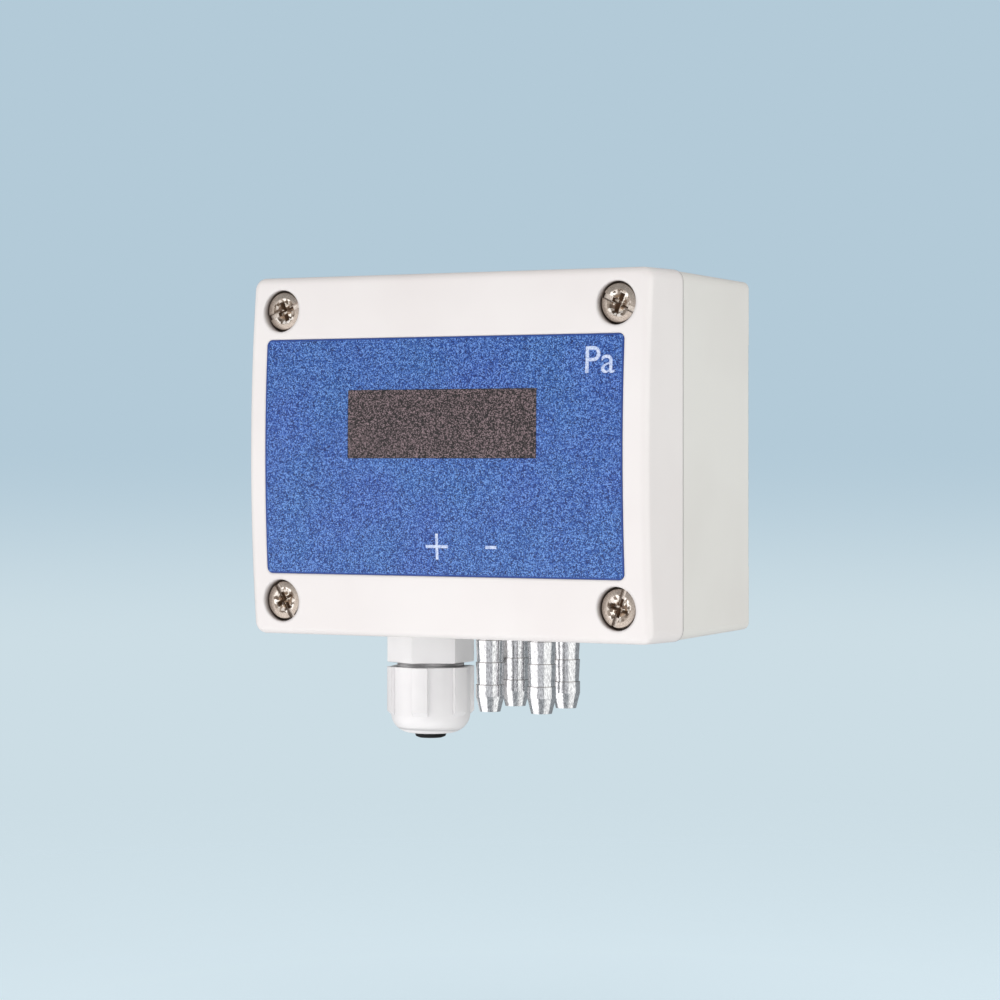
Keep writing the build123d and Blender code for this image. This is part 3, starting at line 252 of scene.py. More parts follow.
tree.links.new(both, tree.nodes["Material Output"].inputs["Surface"])
mesh.materials.append(paper)
print("floor", 2 * FLOOR_R, "m wide at", FLOOR_Z)

# %% [markdown]
# ## White ABS
#
# Box and cover are injection-moulded ABS, a little warm in tone. The mould was finely spark-eroded, so
# the surface has a grain of about 0.15 mm that breaks its gloss. Moulded edges are never sharp, so the
# bevel node rounds the shading over them. Box and cover come from two moulds, and the box is a shade
# greyer. Where they meet, a fine shadow gap runs all the way round, and the narrow wells round the
# screws lie in shade. Both could be left to the light, but they are a few tenths of a millimetre wide
# and would flicker, so both are painted shade in the colour: a dark line by the distance to the seam,
# and a darker tone by the depth and the distance to the axis of the nearest screw.


# %% White ABS
SCREW_X, SCREW_Z = 48.4 * MM, 36.5 * MM
HEAD_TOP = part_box("cover_screw_1")[0][1]
WELL_WALL, WELL_SHADE = (5.55 * MM, 5.35 * MM), (HEAD_TOP - 1.3 * MM, HEAD_TOP + 0.9 * MM)
SEAM_Y, SEAM_DARK, SEAM_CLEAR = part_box("cover")[1][1], 0.11 * MM, 0.19 * MM


def axis_frame(tree, spot, x, z):
    """Distance from an axis along Y through (x, z), and the angle round it. Mirrors share one axis."""
    sideways = add(tree, "Math", {0: add(tree, "SeparateXYZ", {0: spot}, out="X")}, operation="ABSOLUTE")
    upward = add(tree, "Math", {0: add(tree, "SeparateXYZ", {0: spot}, out="Z")}, operation="ABSOLUTE")
    across = add(tree, "Math", {0: sideways, 1: x}, operation="SUBTRACT")
    above = add(tree, "Math", {0: upward, 1: z}, operation="SUBTRACT")
    flat = add(tree, "CombineXYZ", {0: across, 1: above})
    reach = add(tree, "VectorMath", {0: flat}, out="Value", operation="LENGTH")
    return reach, add(tree, "Math", {0: above, 1: across}, operation="ARCTAN2")


def moulded_abs(name, dark, light, well_shade_colour, edge_mm):
    """White ABS in two close tones, with painted shade in its screw wells and a painted shadow at the seam.
    """
    made, tree, shader, spot = finish(name, 0.3, ior=1.54)
    flow = add(tree, "TexNoise", {"Vector": spot, "Scale": per_mm(40), "Detail": 3.0})
    cloud = add(tree, "TexNoise", {"Vector": spot, "Scale": per_mm(6), "Detail": 2.0})
    erosion = add(tree, "TexNoise", {"Vector": spot, "Scale": per_mm(0.15), "Detail": 3.0})
    tone = add(tree, "ValToRGB", {"Fac": flow}, stops={0.35: dark, 0.65: light})
    reach, angle = axis_frame(tree, spot, SCREW_X, SCREW_Z)
    depth = add(tree, "SeparateXYZ", {0: spot}, out="Y")
    # Painted shade: the colour darkens with depth in the wells round the screws.
    shade = add(tree, "MapRange", {"Value": depth, 1: WELL_SHADE[0], 2: WELL_SHADE[1]})
    in_well = add(tree, "MapRange", {"Value": reach, 1: WELL_WALL[0], 2: WELL_WALL[1]})
    shade = add(tree, "Math", {0: shade, 1: in_well}, operation="MULTIPLY")
    shade = add(tree, "ValToRGB", {"Fac": shade}, stops={0.0: "#ffffff", 1.0: well_shade_colour})
    # Painted shadow: a dark line along the seam between cover and box, left off faces that look along Y.
    from_seam = add(tree, "Math", {0: depth, 1: SEAM_Y}, operation="SUBTRACT")
    from_seam = add(tree, "Math", {0: from_seam}, operation="ABSOLUTE")
    gap = add(tree, "MapRange", {"Value": from_seam, 1: SEAM_DARK, 2: SEAM_CLEAR})
    rim = add(tree, "SeparateXYZ", {0: add(tree, "NewGeometry", out="Normal")}, out="Y")
    rim = add(tree, "Math", {0: rim}, operation="ABSOLUTE")
    gap = add(tree, "Math", {0: gap, 1: rim}, operation="MAXIMUM")
    tone = add(tree, "Mix", {0: 1.0, 6: tone, 7: shade}, out=2, data_type="RGBA", blend_type="MULTIPLY")
    tone = add(tree, "Mix", {0: gap, 6: linear("#7d7672"), 7: tone}, out=2, data_type="RGBA")
    dull = add(tree, "MapRange", {"Value": cloud, 1: 0.3, 2: 0.7, 3: 0.285, 4: 0.36})
    wire(tree, shader, Base_Color=tone, Roughness=dull)
    relief(tree, shader, erosion, 0.002, edge_mm)
    return made


paint(["cover"], moulded_abs("white ABS of the cover", "#ebe7e6", "#f0edec", "#8d7f75", 1.2))
paint(["base_housing"], moulded_abs("white ABS of the box", "#e4e3df", "#e9e9e5", "#ffffff", 0.4))

# %% [markdown]
# ## Label foil and window
#
# The label is printed polycarbonate foil with a matt texture over it, in grains of about a quarter of a
# millimetre. A picture of the grain could be laid on it, but a cell texture needs no file and never
# repeats: each grain catches the light its own way, so each cell gets its own shade of the ink. The
# printing is never quite even either, so wide soft patches shift its hue. The same foil covers the
# window, over a smoked grey. Along its cut edge less light comes back, so a darker line runs there.


# %% Printed foil
GRAIN_MM = 0.24


def printed_foil(name, shades, edge, inset_mm, box):
    """Textured foil over an ink: dark, main and light shades, and the tone of its inset edge line."""
    made, tree, shader, spot = finish(name, 0.40, ior=1.5, Specular_IOR_Level=0.38)
    cells = add(tree, "TexVoronoi", {"Vector": spot, "Scale": per_mm(GRAIN_MM)}, out="Color")
    glint = add(tree, "SeparateColor", {0: cells}, out="Red")
    colour = add(tree, "ValToRGB", {"Fac": glint}, stops=dict(zip((0.05, 0.5, 0.95), shades)))
    patch = add(tree, "TexNoise", {"Vector": spot, "Scale": per_mm(20.0), "Detail": 2.0})
    shift = add(tree, "MapRange", {"Value": patch, 1: 0.35, 2: 0.65, 3: 0.496, 4: 0.504})
    colour = add(tree, "HueSaturation", {"Hue": shift, "Color": colour})
    low, high = box
    gaps = []
    for axis, way in ((0, "X"), (2, "Z")):
        along = add(tree, "SeparateXYZ", {0: spot}, out=way)
        off = add(tree, "Math", {0: along, 1: (low[axis] + high[axis]) / 2}, operation="SUBTRACT")
        off = add(tree, "Math", {0: off}, operation="ABSOLUTE")
        gaps.append(add(tree, "Math", {0: (high[axis] - low[axis]) / 2, 1: off}, operation="SUBTRACT"))
    gap = add(tree, "Math", {0: gaps[0], 1: gaps[1]}, operation="MINIMUM")
    line = add(tree, "MapRange", {"Value": gap, 1: inset_mm * MM, 2: 0.6 * inset_mm * MM})
    colour = add(tree, "Mix", {0: line, 6: colour, 7: linear(edge)}, out=2, data_type="RGBA")
    wire(tree, shader, Base_Color=colour)
    relief(tree, shader, glint, 0.01)
    return made


BLUES = ("#001f5d", "#174ea3", "#6f9de4")
GREYS = ("#010000", "#150a0d", "#8f7a7f")
blue = printed_foil("blue printed foil", BLUES, "#1d4391", 0.5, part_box("front_label"))
smoke = printed_foil("smoked foil", GREYS, "#241c1e", 0.4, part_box("display_window"))
paint(["front_label"], blue)
paint(["display_window"], smoke)

# %% [markdown]
# ## Printing on the label
#
# A plus and a minus mark the two pressure sides, and the unit stands in the upper corner. They are
# screen-printed in a pale ink that is a few hundredths of a millimetre thick. They could be drawn in
# the label's material, but strokes with crisp corners are simpler as shapes. So each mark is a flat
# mesh whose points are moved onto the bow of the label, and pulled out to the thickness of the ink.

# %% Pale ink
FACE_R, FACE_FRONT = 406.35 * MM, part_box("front_label")[0][1]
INK_PROUD = 0.03 * MM


def on_bow(z):
    """Depth of the label's surface at height z."""
    return FACE_FRONT + FACE_R - math.sqrt(FACE_R**2 - z * z)


ink, tree, shader, spot = finish("pale screen ink", 0.5)
cells = add(tree, "TexVoronoi", {"Vector": spot, "Scale": per_mm(0.31)}, out="Color")
glint = add(tree, "SeparateColor", {0: cells}, out="Red")
wire(tree, shader, Base_Color=add(tree, "ValToRGB", {"Fac": glint}, stops={0.1: "#a6b9e4", 0.9: "#d9e5fc"}))


def link_piece(name, mesh, material, body):
    """Puts a mesh in the scene as a piece that rides on a body."""
    mesh.materials.append(material)
    piece = bpy.data.objects.new(name, mesh)
    scene.collection.objects.link(piece)
    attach(piece, body)
    print(name, "with", len(mesh.polygons), "faces")


def print_mark(name, flat):
    """Lays a flat bmesh, drawn in X and Z, on the label as a thin film of ink."""
    bmesh.ops.triangulate(flat, faces=flat.faces)
    raised = bmesh.ops.extrude_face_region(flat, geom=flat.faces[:])["geom"]
    front = {v for v in raised if isinstance(v, bmesh.types.BMVert)}
    for v in flat.verts:
        v.co.y = on_bow(v.co.z) - (INK_PROUD if v in front else -INK_PROUD)
    bmesh.ops.recalc_face_normals(flat, faces=flat.faces)
    mesh = bpy.data.meshes.new(name)
    flat.to_mesh(mesh)
    flat.free()
    link_piece(name, mesh, ink, "cover")


def bars(*boxes):
    """Flat rectangles, each (centre x, centre z, width, height) in millimetres, cut fine enough to bend."""
    flat = bmesh.new()
    for x, z, width, tall in boxes:
        rows = max(1, round(tall))
        for row in range(rows):
            low, high = (z - tall / 2 + tall * step / rows for step in (row, row + 1))
            left, right = x - width / 2, x + width / 2
            corners = [(left, low), (right, low), (right, high), (left, high)]
            flat.faces.new([flat.verts.new((cx * MM, 0, cz * MM)) for cx, cz in corners])
    bmesh.ops.remove_doubles(flat, verts=flat.verts, dist=1e-7)
    return flat


# %% Plus and minus
STROKE = 0.75
PLUS_X, MINUS_X, SIGN_Z, PLUS_SIZE, MINUS_SIZE = -1.35, 14.15, -22.3, 6.4, 3.1
arm = (PLUS_SIZE - STROKE) / 2
beside = (STROKE + arm) / 2
plus = [(PLUS_X + side * beside, SIGN_Z, arm, STROKE) for side in (-1, 1)]
print_mark("plus_mark", bars((PLUS_X, SIGN_Z, STROKE, PLUS_SIZE), *plus))
print_mark("minus_mark", bars((MINUS_X, SIGN_Z, MINUS_SIZE, STROKE)))

# %% Unit
UNIT_RIGHT, UNIT_BASE, UNIT_CAPITAL = 48.6 * MM, 19.8 * MM, 6.4 * MM
writing = bpy.data.curves.new("unit", "FONT")
writing.body = "Pa"
letters = bpy.data.objects.new("unit", writing)
flat = bmesh.new()
flat.from_mesh(bpy.data.meshes.new_from_object(letters))
bpy.data.objects.remove(letters)
capital = max(v.co.y for v in flat.verts)
wide = max(v.co.x for v in flat.verts)
for v in flat.verts:
    v.co = Vector((v.co.x - wide, 0, v.co.y)) * UNIT_CAPITAL / capital + Vector((UNIT_RIGHT, 0, UNIT_BASE))
print_mark("unit_mark", flat)

# %% [markdown]
# ## Cover screws
#
# The cover screws are turned steel with a warm grey plating. The lathe left fine rings on each head.
# The slot's floor is smooth and bright. The recess was punched, so its walls are rough, and its cross
# and the dish round it are given dark brown and near-white cells: painted shade and painted glints on the
# rough metal. Its steep walls deep down are painted brown as shade. Each face could get a material of its
# own, but these places run into each other without a clean border. So one material tells them apart: by
# how far a point is from the screw's axis, how deep it lies, and how much its surface faces forward. The
# head is given a low dome by relief, and the thread is a helix of relief along the shank.

# %% Plated steel
RING_MM, THREAD_MM, SCREW_RELIEF_MM, DOME_PER_MM = 0.34, 1.6, 0.008, 0.028
DISH, CROSS = (2.95 * MM, 2.75 * MM), (1.75 * MM, 1.35 * MM)
steel, tree, shader, spot = finish("warm plated steel", 0.30, metallic=1.0)
reach, angle = axis_frame(tree, spot, SCREW_X, SCREW_Z)
depth = add(tree, "SeparateXYZ", {0: spot}, out="Y")
facing = add(tree, "SeparateXYZ", {0: add(tree, "NewGeometry", out="Normal")}, out="Y")
facing = add(tree, "Math", {0: facing}, operation="ABSOLUTE")
sunk = add(tree, "MapRange", {"Value": depth, 1: HEAD_TOP + 0.40 * MM, 2: HEAD_TOP + 0.60 * MM})
scratch = add(tree, "TexNoise", {"Vector": spot, "Scale": per_mm(0.35), "Detail": 3.0})
cells = add(tree, "TexVoronoi", {"Vector": spot, "Scale": per_mm(0.75)}, out="Color")
cells = add(tree, "SeparateColor", {0: cells}, out="Green")

rings = add(tree, "Math", {0: reach, 1: 2 * math.pi * per_mm(RING_MM)}, operation="MULTIPLY")
rings = add(tree, "Math", {0: rings}, operation="SINE")
rings = add(tree, "Math", {0: rings, 1: 0.18}, operation="MULTIPLY")
rings = add(tree, "Math", {0: rings, 1: scratch}, operation="ADD")
turned = add(tree, "ValToRGB", {"Fac": rings}, stops={0.25: "#9b8e83", 0.75: "#cbbeb2"})
# Painted glints and shade: cells in the cross and the dish run from dark brown to near white.
punched_glint_and_shade = add(tree, "ValToRGB", {"Fac": cells}, stops={0.1: "#5b4636", 0.6: "#94795f", 0.8: "#f1e8db"})
dish_glint_and_shade = add(tree, "ValToRGB", {"Fac": cells}, stops={0.1: "#57493d", 0.5: "#93867a", 0.85: "#efe8e0"})
milled = add(tree, "ValToRGB", {"Fac": scratch}, stops={0.35: "#b3a79c", 0.65: "#ddd3ca"})

waver = add(tree, "Math", {0: scratch, 1: 0.8 * MM}, operation="MULTIPLY")
ragged = add(tree, "Math", {0: reach, 1: waver}, operation="SUBTRACT")
in_dish = add(tree, "MapRange", {"Value": ragged, 1: DISH[0], 2: DISH[1]})
in_cross = add(tree, "MapRange", {"Value": ragged, 1: CROSS[0], 2: CROSS[1]})
steep = add(tree, "MapRange", {"Value": facing, 1: 0.85, 2: 0.6})
steep = add(tree, "Math", {0: steep, 1: sunk}, operation="MULTIPLY")
colour = add(tree, "Mix", {0: in_dish, 6: turned, 7: dish_glint_and_shade}, out=2, data_type="RGBA")
colour = add(tree, "Mix", {0: sunk, 6: colour, 7: milled}, out=2, data_type="RGBA")
colour = add(tree, "Mix", {0: in_cross, 6: colour, 7: punched_glint_and_shade}, out=2, data_type="RGBA")
# Painted shade: the steep walls deep in the recess turn brown.
colour = add(tree, "Mix", {0: steep, 6: colour, 7: linear("#7c6450")}, out=2, data_type="RGBA")
cross_or_shaded_wall = add(tree, "Math", {0: in_cross, 1: steep}, operation="MAXIMUM")
metal = add(tree, "MapRange", {"Value": cross_or_shaded_wall, 3: 0.7, 4: 0.35})

dome = add(tree, "Math", {0: reach, 1: reach}, operation="MULTIPLY")
dome = add(tree, "Math", {0: dome, 1: -DOME_PER_MM * 1e6 / SCREW_RELIEF_MM}, operation="MULTIPLY")
on_top = add(tree, "MapRange", {"Value": depth, 1: HEAD_TOP + 0.5 * MM, 2: HEAD_TOP + 0.4 * MM})
dome = add(tree, "Math", {0: dome, 1: on_top}, operation="MULTIPLY")
turn = add(tree, "Math", {0: depth, 1: 2 * math.pi * per_mm(THREAD_MM)}, operation="MULTIPLY")
helix = add(tree, "Math", {0: add(tree, "Math", {0: turn, 1: angle}, operation="ADD")}, operation="SINE")
below_head = add(tree, "MapRange", {"Value": depth, 1: HEAD_TOP + 5 * MM, 2: HEAD_TOP + 6 * MM, 4: 30.0})
groove = add(tree, "Math", {0: helix, 1: below_head}, operation="MULTIPLY")
height = add(tree, "Math", {0: groove, 1: dome}, operation="ADD")
height = add(tree, "Math", {0: height, 1: rings}, operation="ADD")
wire(tree, shader, Base_Color=colour, Metallic=metal)
relief(tree, shader, height, SCREW_RELIEF_MM, 0.10)
paint([f"cover_screw_{n}" for n in (1, 2, 3, 4)], steel)

# %% [markdown]
# ## Aluminium nozzles
#
# The hose nozzles are turned from aluminium bar and left bright. Their rings run round the axis, so the
# reflection of each soft box becomes an upright band with a ragged edge, and the grey between the bands
# is speckled. The bands could be painted, but then they would stay put when the view changes, so they
# are true reflections in a metal of low roughness. Each barb has a sharp step that faces the box, too
# narrow to catch light, so its shade is painted: faces that look up and a thin line at each barb are greyer.

# %% Turned aluminium
NOZZLE_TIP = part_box("nozzle_1")[0][2]
LAST_BARB, BARB_PITCH, TOOL_MM = NOZZLE_TIP + 6.8 * MM, 5.6 * MM, 0.25
ABOVE_BARBS, ABOVE_TIP, FADES_OVER = NOZZLE_TIP + 19 * MM, NOZZLE_TIP + 5 * MM, 0.5 * MM
aluminium, tree, shader, spot = finish("turned aluminium", 0.17, metallic=1.0)
level = add(tree, "SeparateXYZ", {0: spot}, out="Z")
up = add(tree, "SeparateXYZ", {0: add(tree, "NewGeometry", out="Normal")}, out="Z")
wave = add(tree, "Math", {0: level, 1: 2 * math.pi * per_mm(TOOL_MM)}, operation="MULTIPLY")
wave = add(tree, "Math", {0: wave}, operation="SINE")
stretched = add(tree, "VectorMath", {0: spot, 1: (1.0, 1.0, 0.35)}, operation="MULTIPLY")
speckle = add(tree, "TexNoise", {"Vector": stretched, "Scale": per_mm(0.30), "Detail": 3.0})
colour = add(tree, "ValToRGB", {"Fac": speckle}, stops={0.34: "#b2b1b4", 0.50: "#dad9da", 0.66: "#f4f4f5"})
step = add(tree, "MapRange", {"Value": up, 1: 0.4, 2: 0.8})
since = add(tree, "Math", {0: level, 1: LAST_BARB - BARB_PITCH / 2}, operation="SUBTRACT")
since = add(tree, "Math", {0: since, 1: BARB_PITCH}, operation="FLOORED_MODULO")
since = add(tree, "Math", {0: since, 1: BARB_PITCH / 2}, operation="SUBTRACT")
since = add(tree, "Math", {0: since}, operation="ABSOLUTE")
line = add(tree, "MapRange", {"Value": since, 1: 0.16 * MM, 2: 0.06 * MM})
low = add(tree, "MapRange", {"Value": level, 1: ABOVE_BARBS, 2: ABOVE_BARBS - FADES_OVER})
past_tip = add(tree, "MapRange", {"Value": level, 1: ABOVE_TIP, 2: ABOVE_TIP + FADES_OVER})
low = add(tree, "Math", {0: low, 1: past_tip}, operation="MULTIPLY")
line = add(tree, "Math", {0: line, 1: low}, operation="MULTIPLY")
dark = add(tree, "Math", {0: step, 1: line}, operation="MAXIMUM")
# Painted shade: faces that look up and a thin line at each barb edge are greyer.
colour = add(tree, "Mix", {0: dark, 6: colour, 7: linear("#a9a5a3")}, out=2, data_type="RGBA")
rough = add(tree, "Math", {0: speckle, 1: 1.6}, operation="MULTIPLY")
rough = add(tree, "Math", {0: rough, 1: wave}, operation="ADD")
wire(tree, shader, Base_Color=colour)
relief(tree, shader, rough, 0.0006, 0.05)
paint([f"nozzle_{n}" for n in (1, 2, 3, 4)], aluminium)

# %% [markdown]
# ## Gland, seals and rings
#
# Gland body and nut are moulded polyamide, a clean white with a trace of blue, about as glossy as the
# box. White parts this close together throw light into each other's gaps, so the darkness of a gap is
# helped along by ambient occlusion in the colour. The gland's own thread shows once its nut is backed
# off, so it gets a helix of relief. The thread could be cut in the mesh, but it would take more faces
# than the rest of the gland.
#
# The seal in it and the rings on the cover screws are black nitrile rubber, matt with a fine bloom. The
# cord in the cover's groove is silicone foam, dull and full of pores of about half a millimetre.

# %% Polyamide
GLAND_X, GLAND_Y, GLAND_THREAD_MM, GAP_REACH = -26.1 * MM, -20.0 * MM, 1.5, 3.0 * MM
THREAD_R, THREAD_END_R, THREAD_DEPTH = 8.75 * MM, 8.65 * MM, 40.0
polyamide, tree, shader, spot = finish("white polyamide", 0.33, ior=1.53)
flow = add(tree, "TexNoise", {"Vector": spot, "Scale": per_mm(12), "Detail": 2.0})
mottle = add(tree, "TexNoise", {"Vector": spot, "Scale": per_mm(0.4), "Detail": 2.0})
tone = add(tree, "ValToRGB", {"Fac": flow}, stops={0.35: "#eeedee", 0.65: "#f3f2f3"})
open_sky = add(tree, "AmbientOcclusion", {"Distance": GAP_REACH}, out="AO", samples=16)
shade = add(tree, "ValToRGB", {"Fac": open_sky}, stops={0.05: "#3f4043", 0.50: "#ffffff"})
tone = add(tree, "Mix", {0: 1.0, 6: tone, 7: shade}, out=2, data_type="RGBA", blend_type="MULTIPLY")
parts = [add(tree, "SeparateXYZ", {0: spot}, out=way) for way in "XYZ"]
across = add(tree, "Math", {0: parts[0], 1: GLAND_X}, operation="SUBTRACT")
along = add(tree, "Math", {0: parts[1], 1: GLAND_Y}, operation="SUBTRACT")
angle = add(tree, "Math", {0: along, 1: across}, operation="ARCTAN2")
flat = add(tree, "CombineXYZ", {0: across, 1: along})
reach = add(tree, "VectorMath", {0: flat}, out="Value", operation="LENGTH")
turn = add(tree, "Math", {0: parts[2], 1: 2 * math.pi * per_mm(GLAND_THREAD_MM)}, operation="MULTIPLY")
helix = add(tree, "Math", {0: add(tree, "Math", {0: turn, 1: angle}, operation="ADD")}, operation="SINE")
threaded = add(tree, "MapRange", {"Value": reach, 1: THREAD_R, 2: THREAD_END_R})
groove = add(tree, "Math", {0: helix, 1: threaded}, operation="MULTIPLY")
groove = add(tree, "Math", {0: groove, 1: THREAD_DEPTH}, operation="MULTIPLY")
wire(tree, shader, Base_Color=tone)
relief(tree, shader, add(tree, "Math", {0: groove, 1: mottle}, operation="ADD"), 0.006, 0.25)
paint(["gland_body", "gland_nut", "gland_locknut", "display_standoffs"], polyamide)

# %% Black rubber and gasket foam
rubber, tree, shader, spot = finish("black nitrile rubber", 0.5, ior=1.52, Specular_IOR_Level=0.2)
bloom = add(tree, "TexNoise", {"Vector": spot, "Scale": per_mm(1.5), "Detail": 3.0})
skin = add(tree, "TexNoise", {"Vector": spot, "Scale": per_mm(0.2), "Detail": 2.0})
wire(tree, shader, Base_Color=add(tree, "ValToRGB", {"Fac": bloom}, stops={0.3: "#050606", 0.7: "#0c0d0d"}))
relief(tree, shader, skin, 0.01, 0.2)
paint(["gland_seal", "gland_o_ring"] + [f"screw_retainer_{n}" for n in (1, 2, 3, 4)], rubber)

foam, tree, shader, spot = finish("grey silicone foam", 0.85, ior=1.43)
pores = add(tree, "TexVoronoi", {"Vector": spot, "Scale": per_mm(0.5)}, out="Distance")
wire(tree, shader, Base_Color=add(tree, "ValToRGB", {"Fac": pores}, stops={0.1: "#7d7876", 0.5: "#a39d9a"}))
relief(tree, shader, pores, 0.08)
paint(["cover_gasket"], foam)

# %% [markdown]
# ## Parts inside the box
#
# The rest only shows when the cover lifts or the gland comes apart. Most of these parts are one plain
# moulding or metal, so one function makes their finishes: two close tones and a grain of a real size.
# Others are plastic with metal pins in one solid. Such a solid could be cut in two, but the solids stay
# as they are. So boxes in the frame say where the plastic is, and the rest of the solid is metal.


# %% Finishes for small parts
def plain(name, dark, light, roughness, grain_mm=0.4, depth_mm=0.004, **sockets):
    """One moulding or metal in two close tones, with a fine grain."""
    made, tree, shader, spot = finish(name, roughness, **sockets)
    tone = add(tree, "TexNoise", {"Vector": spot, "Scale": per_mm(8 * grain_mm), "Detail": 2.0})
    rough = add(tree, "TexNoise", {"Vector": spot, "Scale": per_mm(grain_mm), "Detail": 2.0})
    wire(tree, shader, Base_Color=add(tree, "ValToRGB", {"Fac": tone}, stops={0.3: dark, 0.7: light}))
    relief(tree, shader, rough, depth_mm, 0.1)
    return made


def inside(tree, spot, low, high):
    """1 inside the box between these corners, in millimetres, and 0 outside."""
    middle = [(a + b) / 2 * MM for a, b in zip(low, high)]
    half = [(b - a) / 2 * MM for a, b in zip(low, high)]
    off = add(tree, "VectorMath", {0: spot, 1: middle}, operation="SUBTRACT")
    off = add(tree, "VectorMath", {0: off}, operation="ABSOLUTE")
    off = add(tree, "VectorMath", {0: off, 1: half}, operation="SUBTRACT")
    x, y, z = [add(tree, "SeparateXYZ", {0: off}, out=way) for way in "XYZ"]
    most = add(tree, "Math", {0: x, 1: y}, operation="MAXIMUM")
    most = add(tree, "Math", {0: most, 1: z}, operation="MAXIMUM")
    return add(tree, "Math", {0: most, 1: 0.0}, operation="LESS_THAN")


def with_metal(name, plastic, metal, *plastic_boxes):
    """A plastic part with metal in the same solid: plastic inside the boxes, metal elsewhere."""
    made, tree, shader, spot = finish(name, 0.5)
    mask = inside(tree, spot, *plastic_boxes[0])
    for corners in plastic_boxes[1:]:
        mask = add(tree, "Math", {0: mask, 1: inside(tree, spot, *corners)}, operation="MAXIMUM")
    tone = add(tree, "TexNoise", {"Vector": spot, "Scale": per_mm(2.0), "Detail": 2.0})
    mould = add(tree, "ValToRGB", {"Fac": tone}, stops={0.3: plastic[0], 0.7: plastic[1]})
    plated = add(tree, "ValToRGB", {"Fac": tone}, stops={0.3: metal[0], 0.7: metal[1]})
    colour = add(tree, "Mix", {0: mask, 6: plated, 7: mould}, out=2, data_type="RGBA")
    bare = add(tree, "Math", {0: 1.0, 1: mask}, operation="SUBTRACT")
    rough = add(tree, "MapRange", {"Value": mask, 3: 0.28, 4: 0.5})
    wire(tree, shader, Base_Color=colour, Metallic=bare, Roughness=rough)
    relief(tree, shader, add(tree, "TexNoise", {"Vector": spot, "Scale": per_mm(0.25)}), 0.004, 0.1)
    return made


# %% [markdown]
# ## Finishes of the inner parts
#
# The boards are glass epoxy under a green solder mask, a thin varnish that is glossy and shows the
# weave as a faint unevenness. Small screws are zinc-plated steel, bluish and bright, and the hidden nuts
# are turned brass. The tubes are extruded silicone, clear but milky, so only part of the light goes
# through. Sensors, terminals, caps and chips are moulded plastics that differ in colour and gloss. A
# ferrite core is pressed and sintered powder, dark and dull.

# %% Boards and their plain parts
mask_green = plain("green solder mask", "#14513a", "#185c42", 0.36, 0.9, 0.002)
paint(["main_board", "display_board"], mask_green)
zinc = plain("zinc-plated steel", "#a9acb0", "#c3c5c8", 0.32, 0.3, metallic=1.0)
paint(["board_screws", "display_screws"], zinc)
brass = plain("turned brass", "#c9a45c", "#d8b66c", 0.28, 0.3, metallic=1.0)
paint([f"nozzle_nut_{n}" for n in (1, 2, 3, 4)], brass)
silicone = plain("clear silicone tube", "#dfe3e2", "#edf0ef", 0.3, 0.6, ior=1.41, Transmission_Weight=0.55)
paint([f"pressure_tube_{n}" for n in (1, 2, 3, 4)], silicone)
paint(["pressure_sensor_1", "pressure_sensor_2"], plain("grey sensor moulding", "#4d4f53", "#5a5c60", 0.5))
paint(["terminal_block"], plain("green terminal polyester", "#1f8a4c", "#279a58", 0.45))
paint(["power_inductor"], plain("sintered ferrite", "#29292b", "#3a3a3d", 0.7, 0.25, 0.02))
paint(["zero_button"], plain("red button cap", "#a8231d", "#b52c24", 0.4))
paint(["jumper_shunt"], plain("black jumper cap", "#141416", "#1f1f22", 0.45))

# %% Parts with metal in them
BLACK, GOLD, TIN = ("#141416", "#202023"), ("#cfa753", "#e0bd6e"), ("#b9bbbf", "#d3d5d8")
header = with_metal(
    "gold-plated header", BLACK, GOLD, ((-12, -11.5, 15), (12, -8, 22)), ((-12, -44, 15), (12, -40.6, 22)),
)
paint(["display_header"], header)
paint(["jumper_pins"], with_metal("gold-plated jumper pins", BLACK, GOLD, ((28, -11.5, -20), (39, -8, -14))))
chip = with_metal("moulded chip with tinned leads", BLACK, TIN, ((35.5, -12, 5), (45.5, -9.2, 15)))
paint(["microcontroller"], chip)
cans = with_metal("sleeved capacitor cans", ("#17191d", "#20232a"), TIN, ((-44, -19.6, 0), (-36, -8, 15)))
paint(["capacitors"], cans)
switch = with_metal("tactile switch", BLACK, TIN, ((36, -12.3, -19), (46, -8, -9)))
paint(["zero_switch"], switch)

# %% [markdown]
# ## Clamp screws, lamps and digits
#
# The clamp screws are zinc-plated. Inside their housing they lie in deep shade, so all but the head is
# painted dark as shade, and only the head is bright. The three status lamps are one solid, cast in tinted
# epoxy resin, smooth and a little see-through. Their colours change from lamp to lamp, so a ramp without
# blending along X tints them. The digits are an unlit display: a black face with milky bars, told apart
# by how deep they lie.

# %% Screws, lamps and digits
slotted, tree, shader, spot = finish("slotted zinc screws", 0.3, metallic=1.0)
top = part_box("terminal_screw_1")[0][1] / MM
head = inside(tree, spot, (-60, top - 1, -30), (0, top + 0.3, 0))
swirl = add(tree, "TexNoise", {"Vector": spot, "Scale": per_mm(0.3), "Detail": 2.0})
bright = add(tree, "ValToRGB", {"Fac": swirl}, stops={0.3: "#a7aaaf", 0.7: "#c6c8cc"})
# Painted shade: all but the head is dark grey.
colour = add(tree, "Mix", {0: head, 6: linear("#3b3a3a"), 7: bright}, out=2, data_type="RGBA")
wire(tree, shader, Base_Color=colour)
relief(tree, shader, swirl, 0.004, 0.08)
paint([f"terminal_screw_{n}" for n in range(1, 7)], slotted)

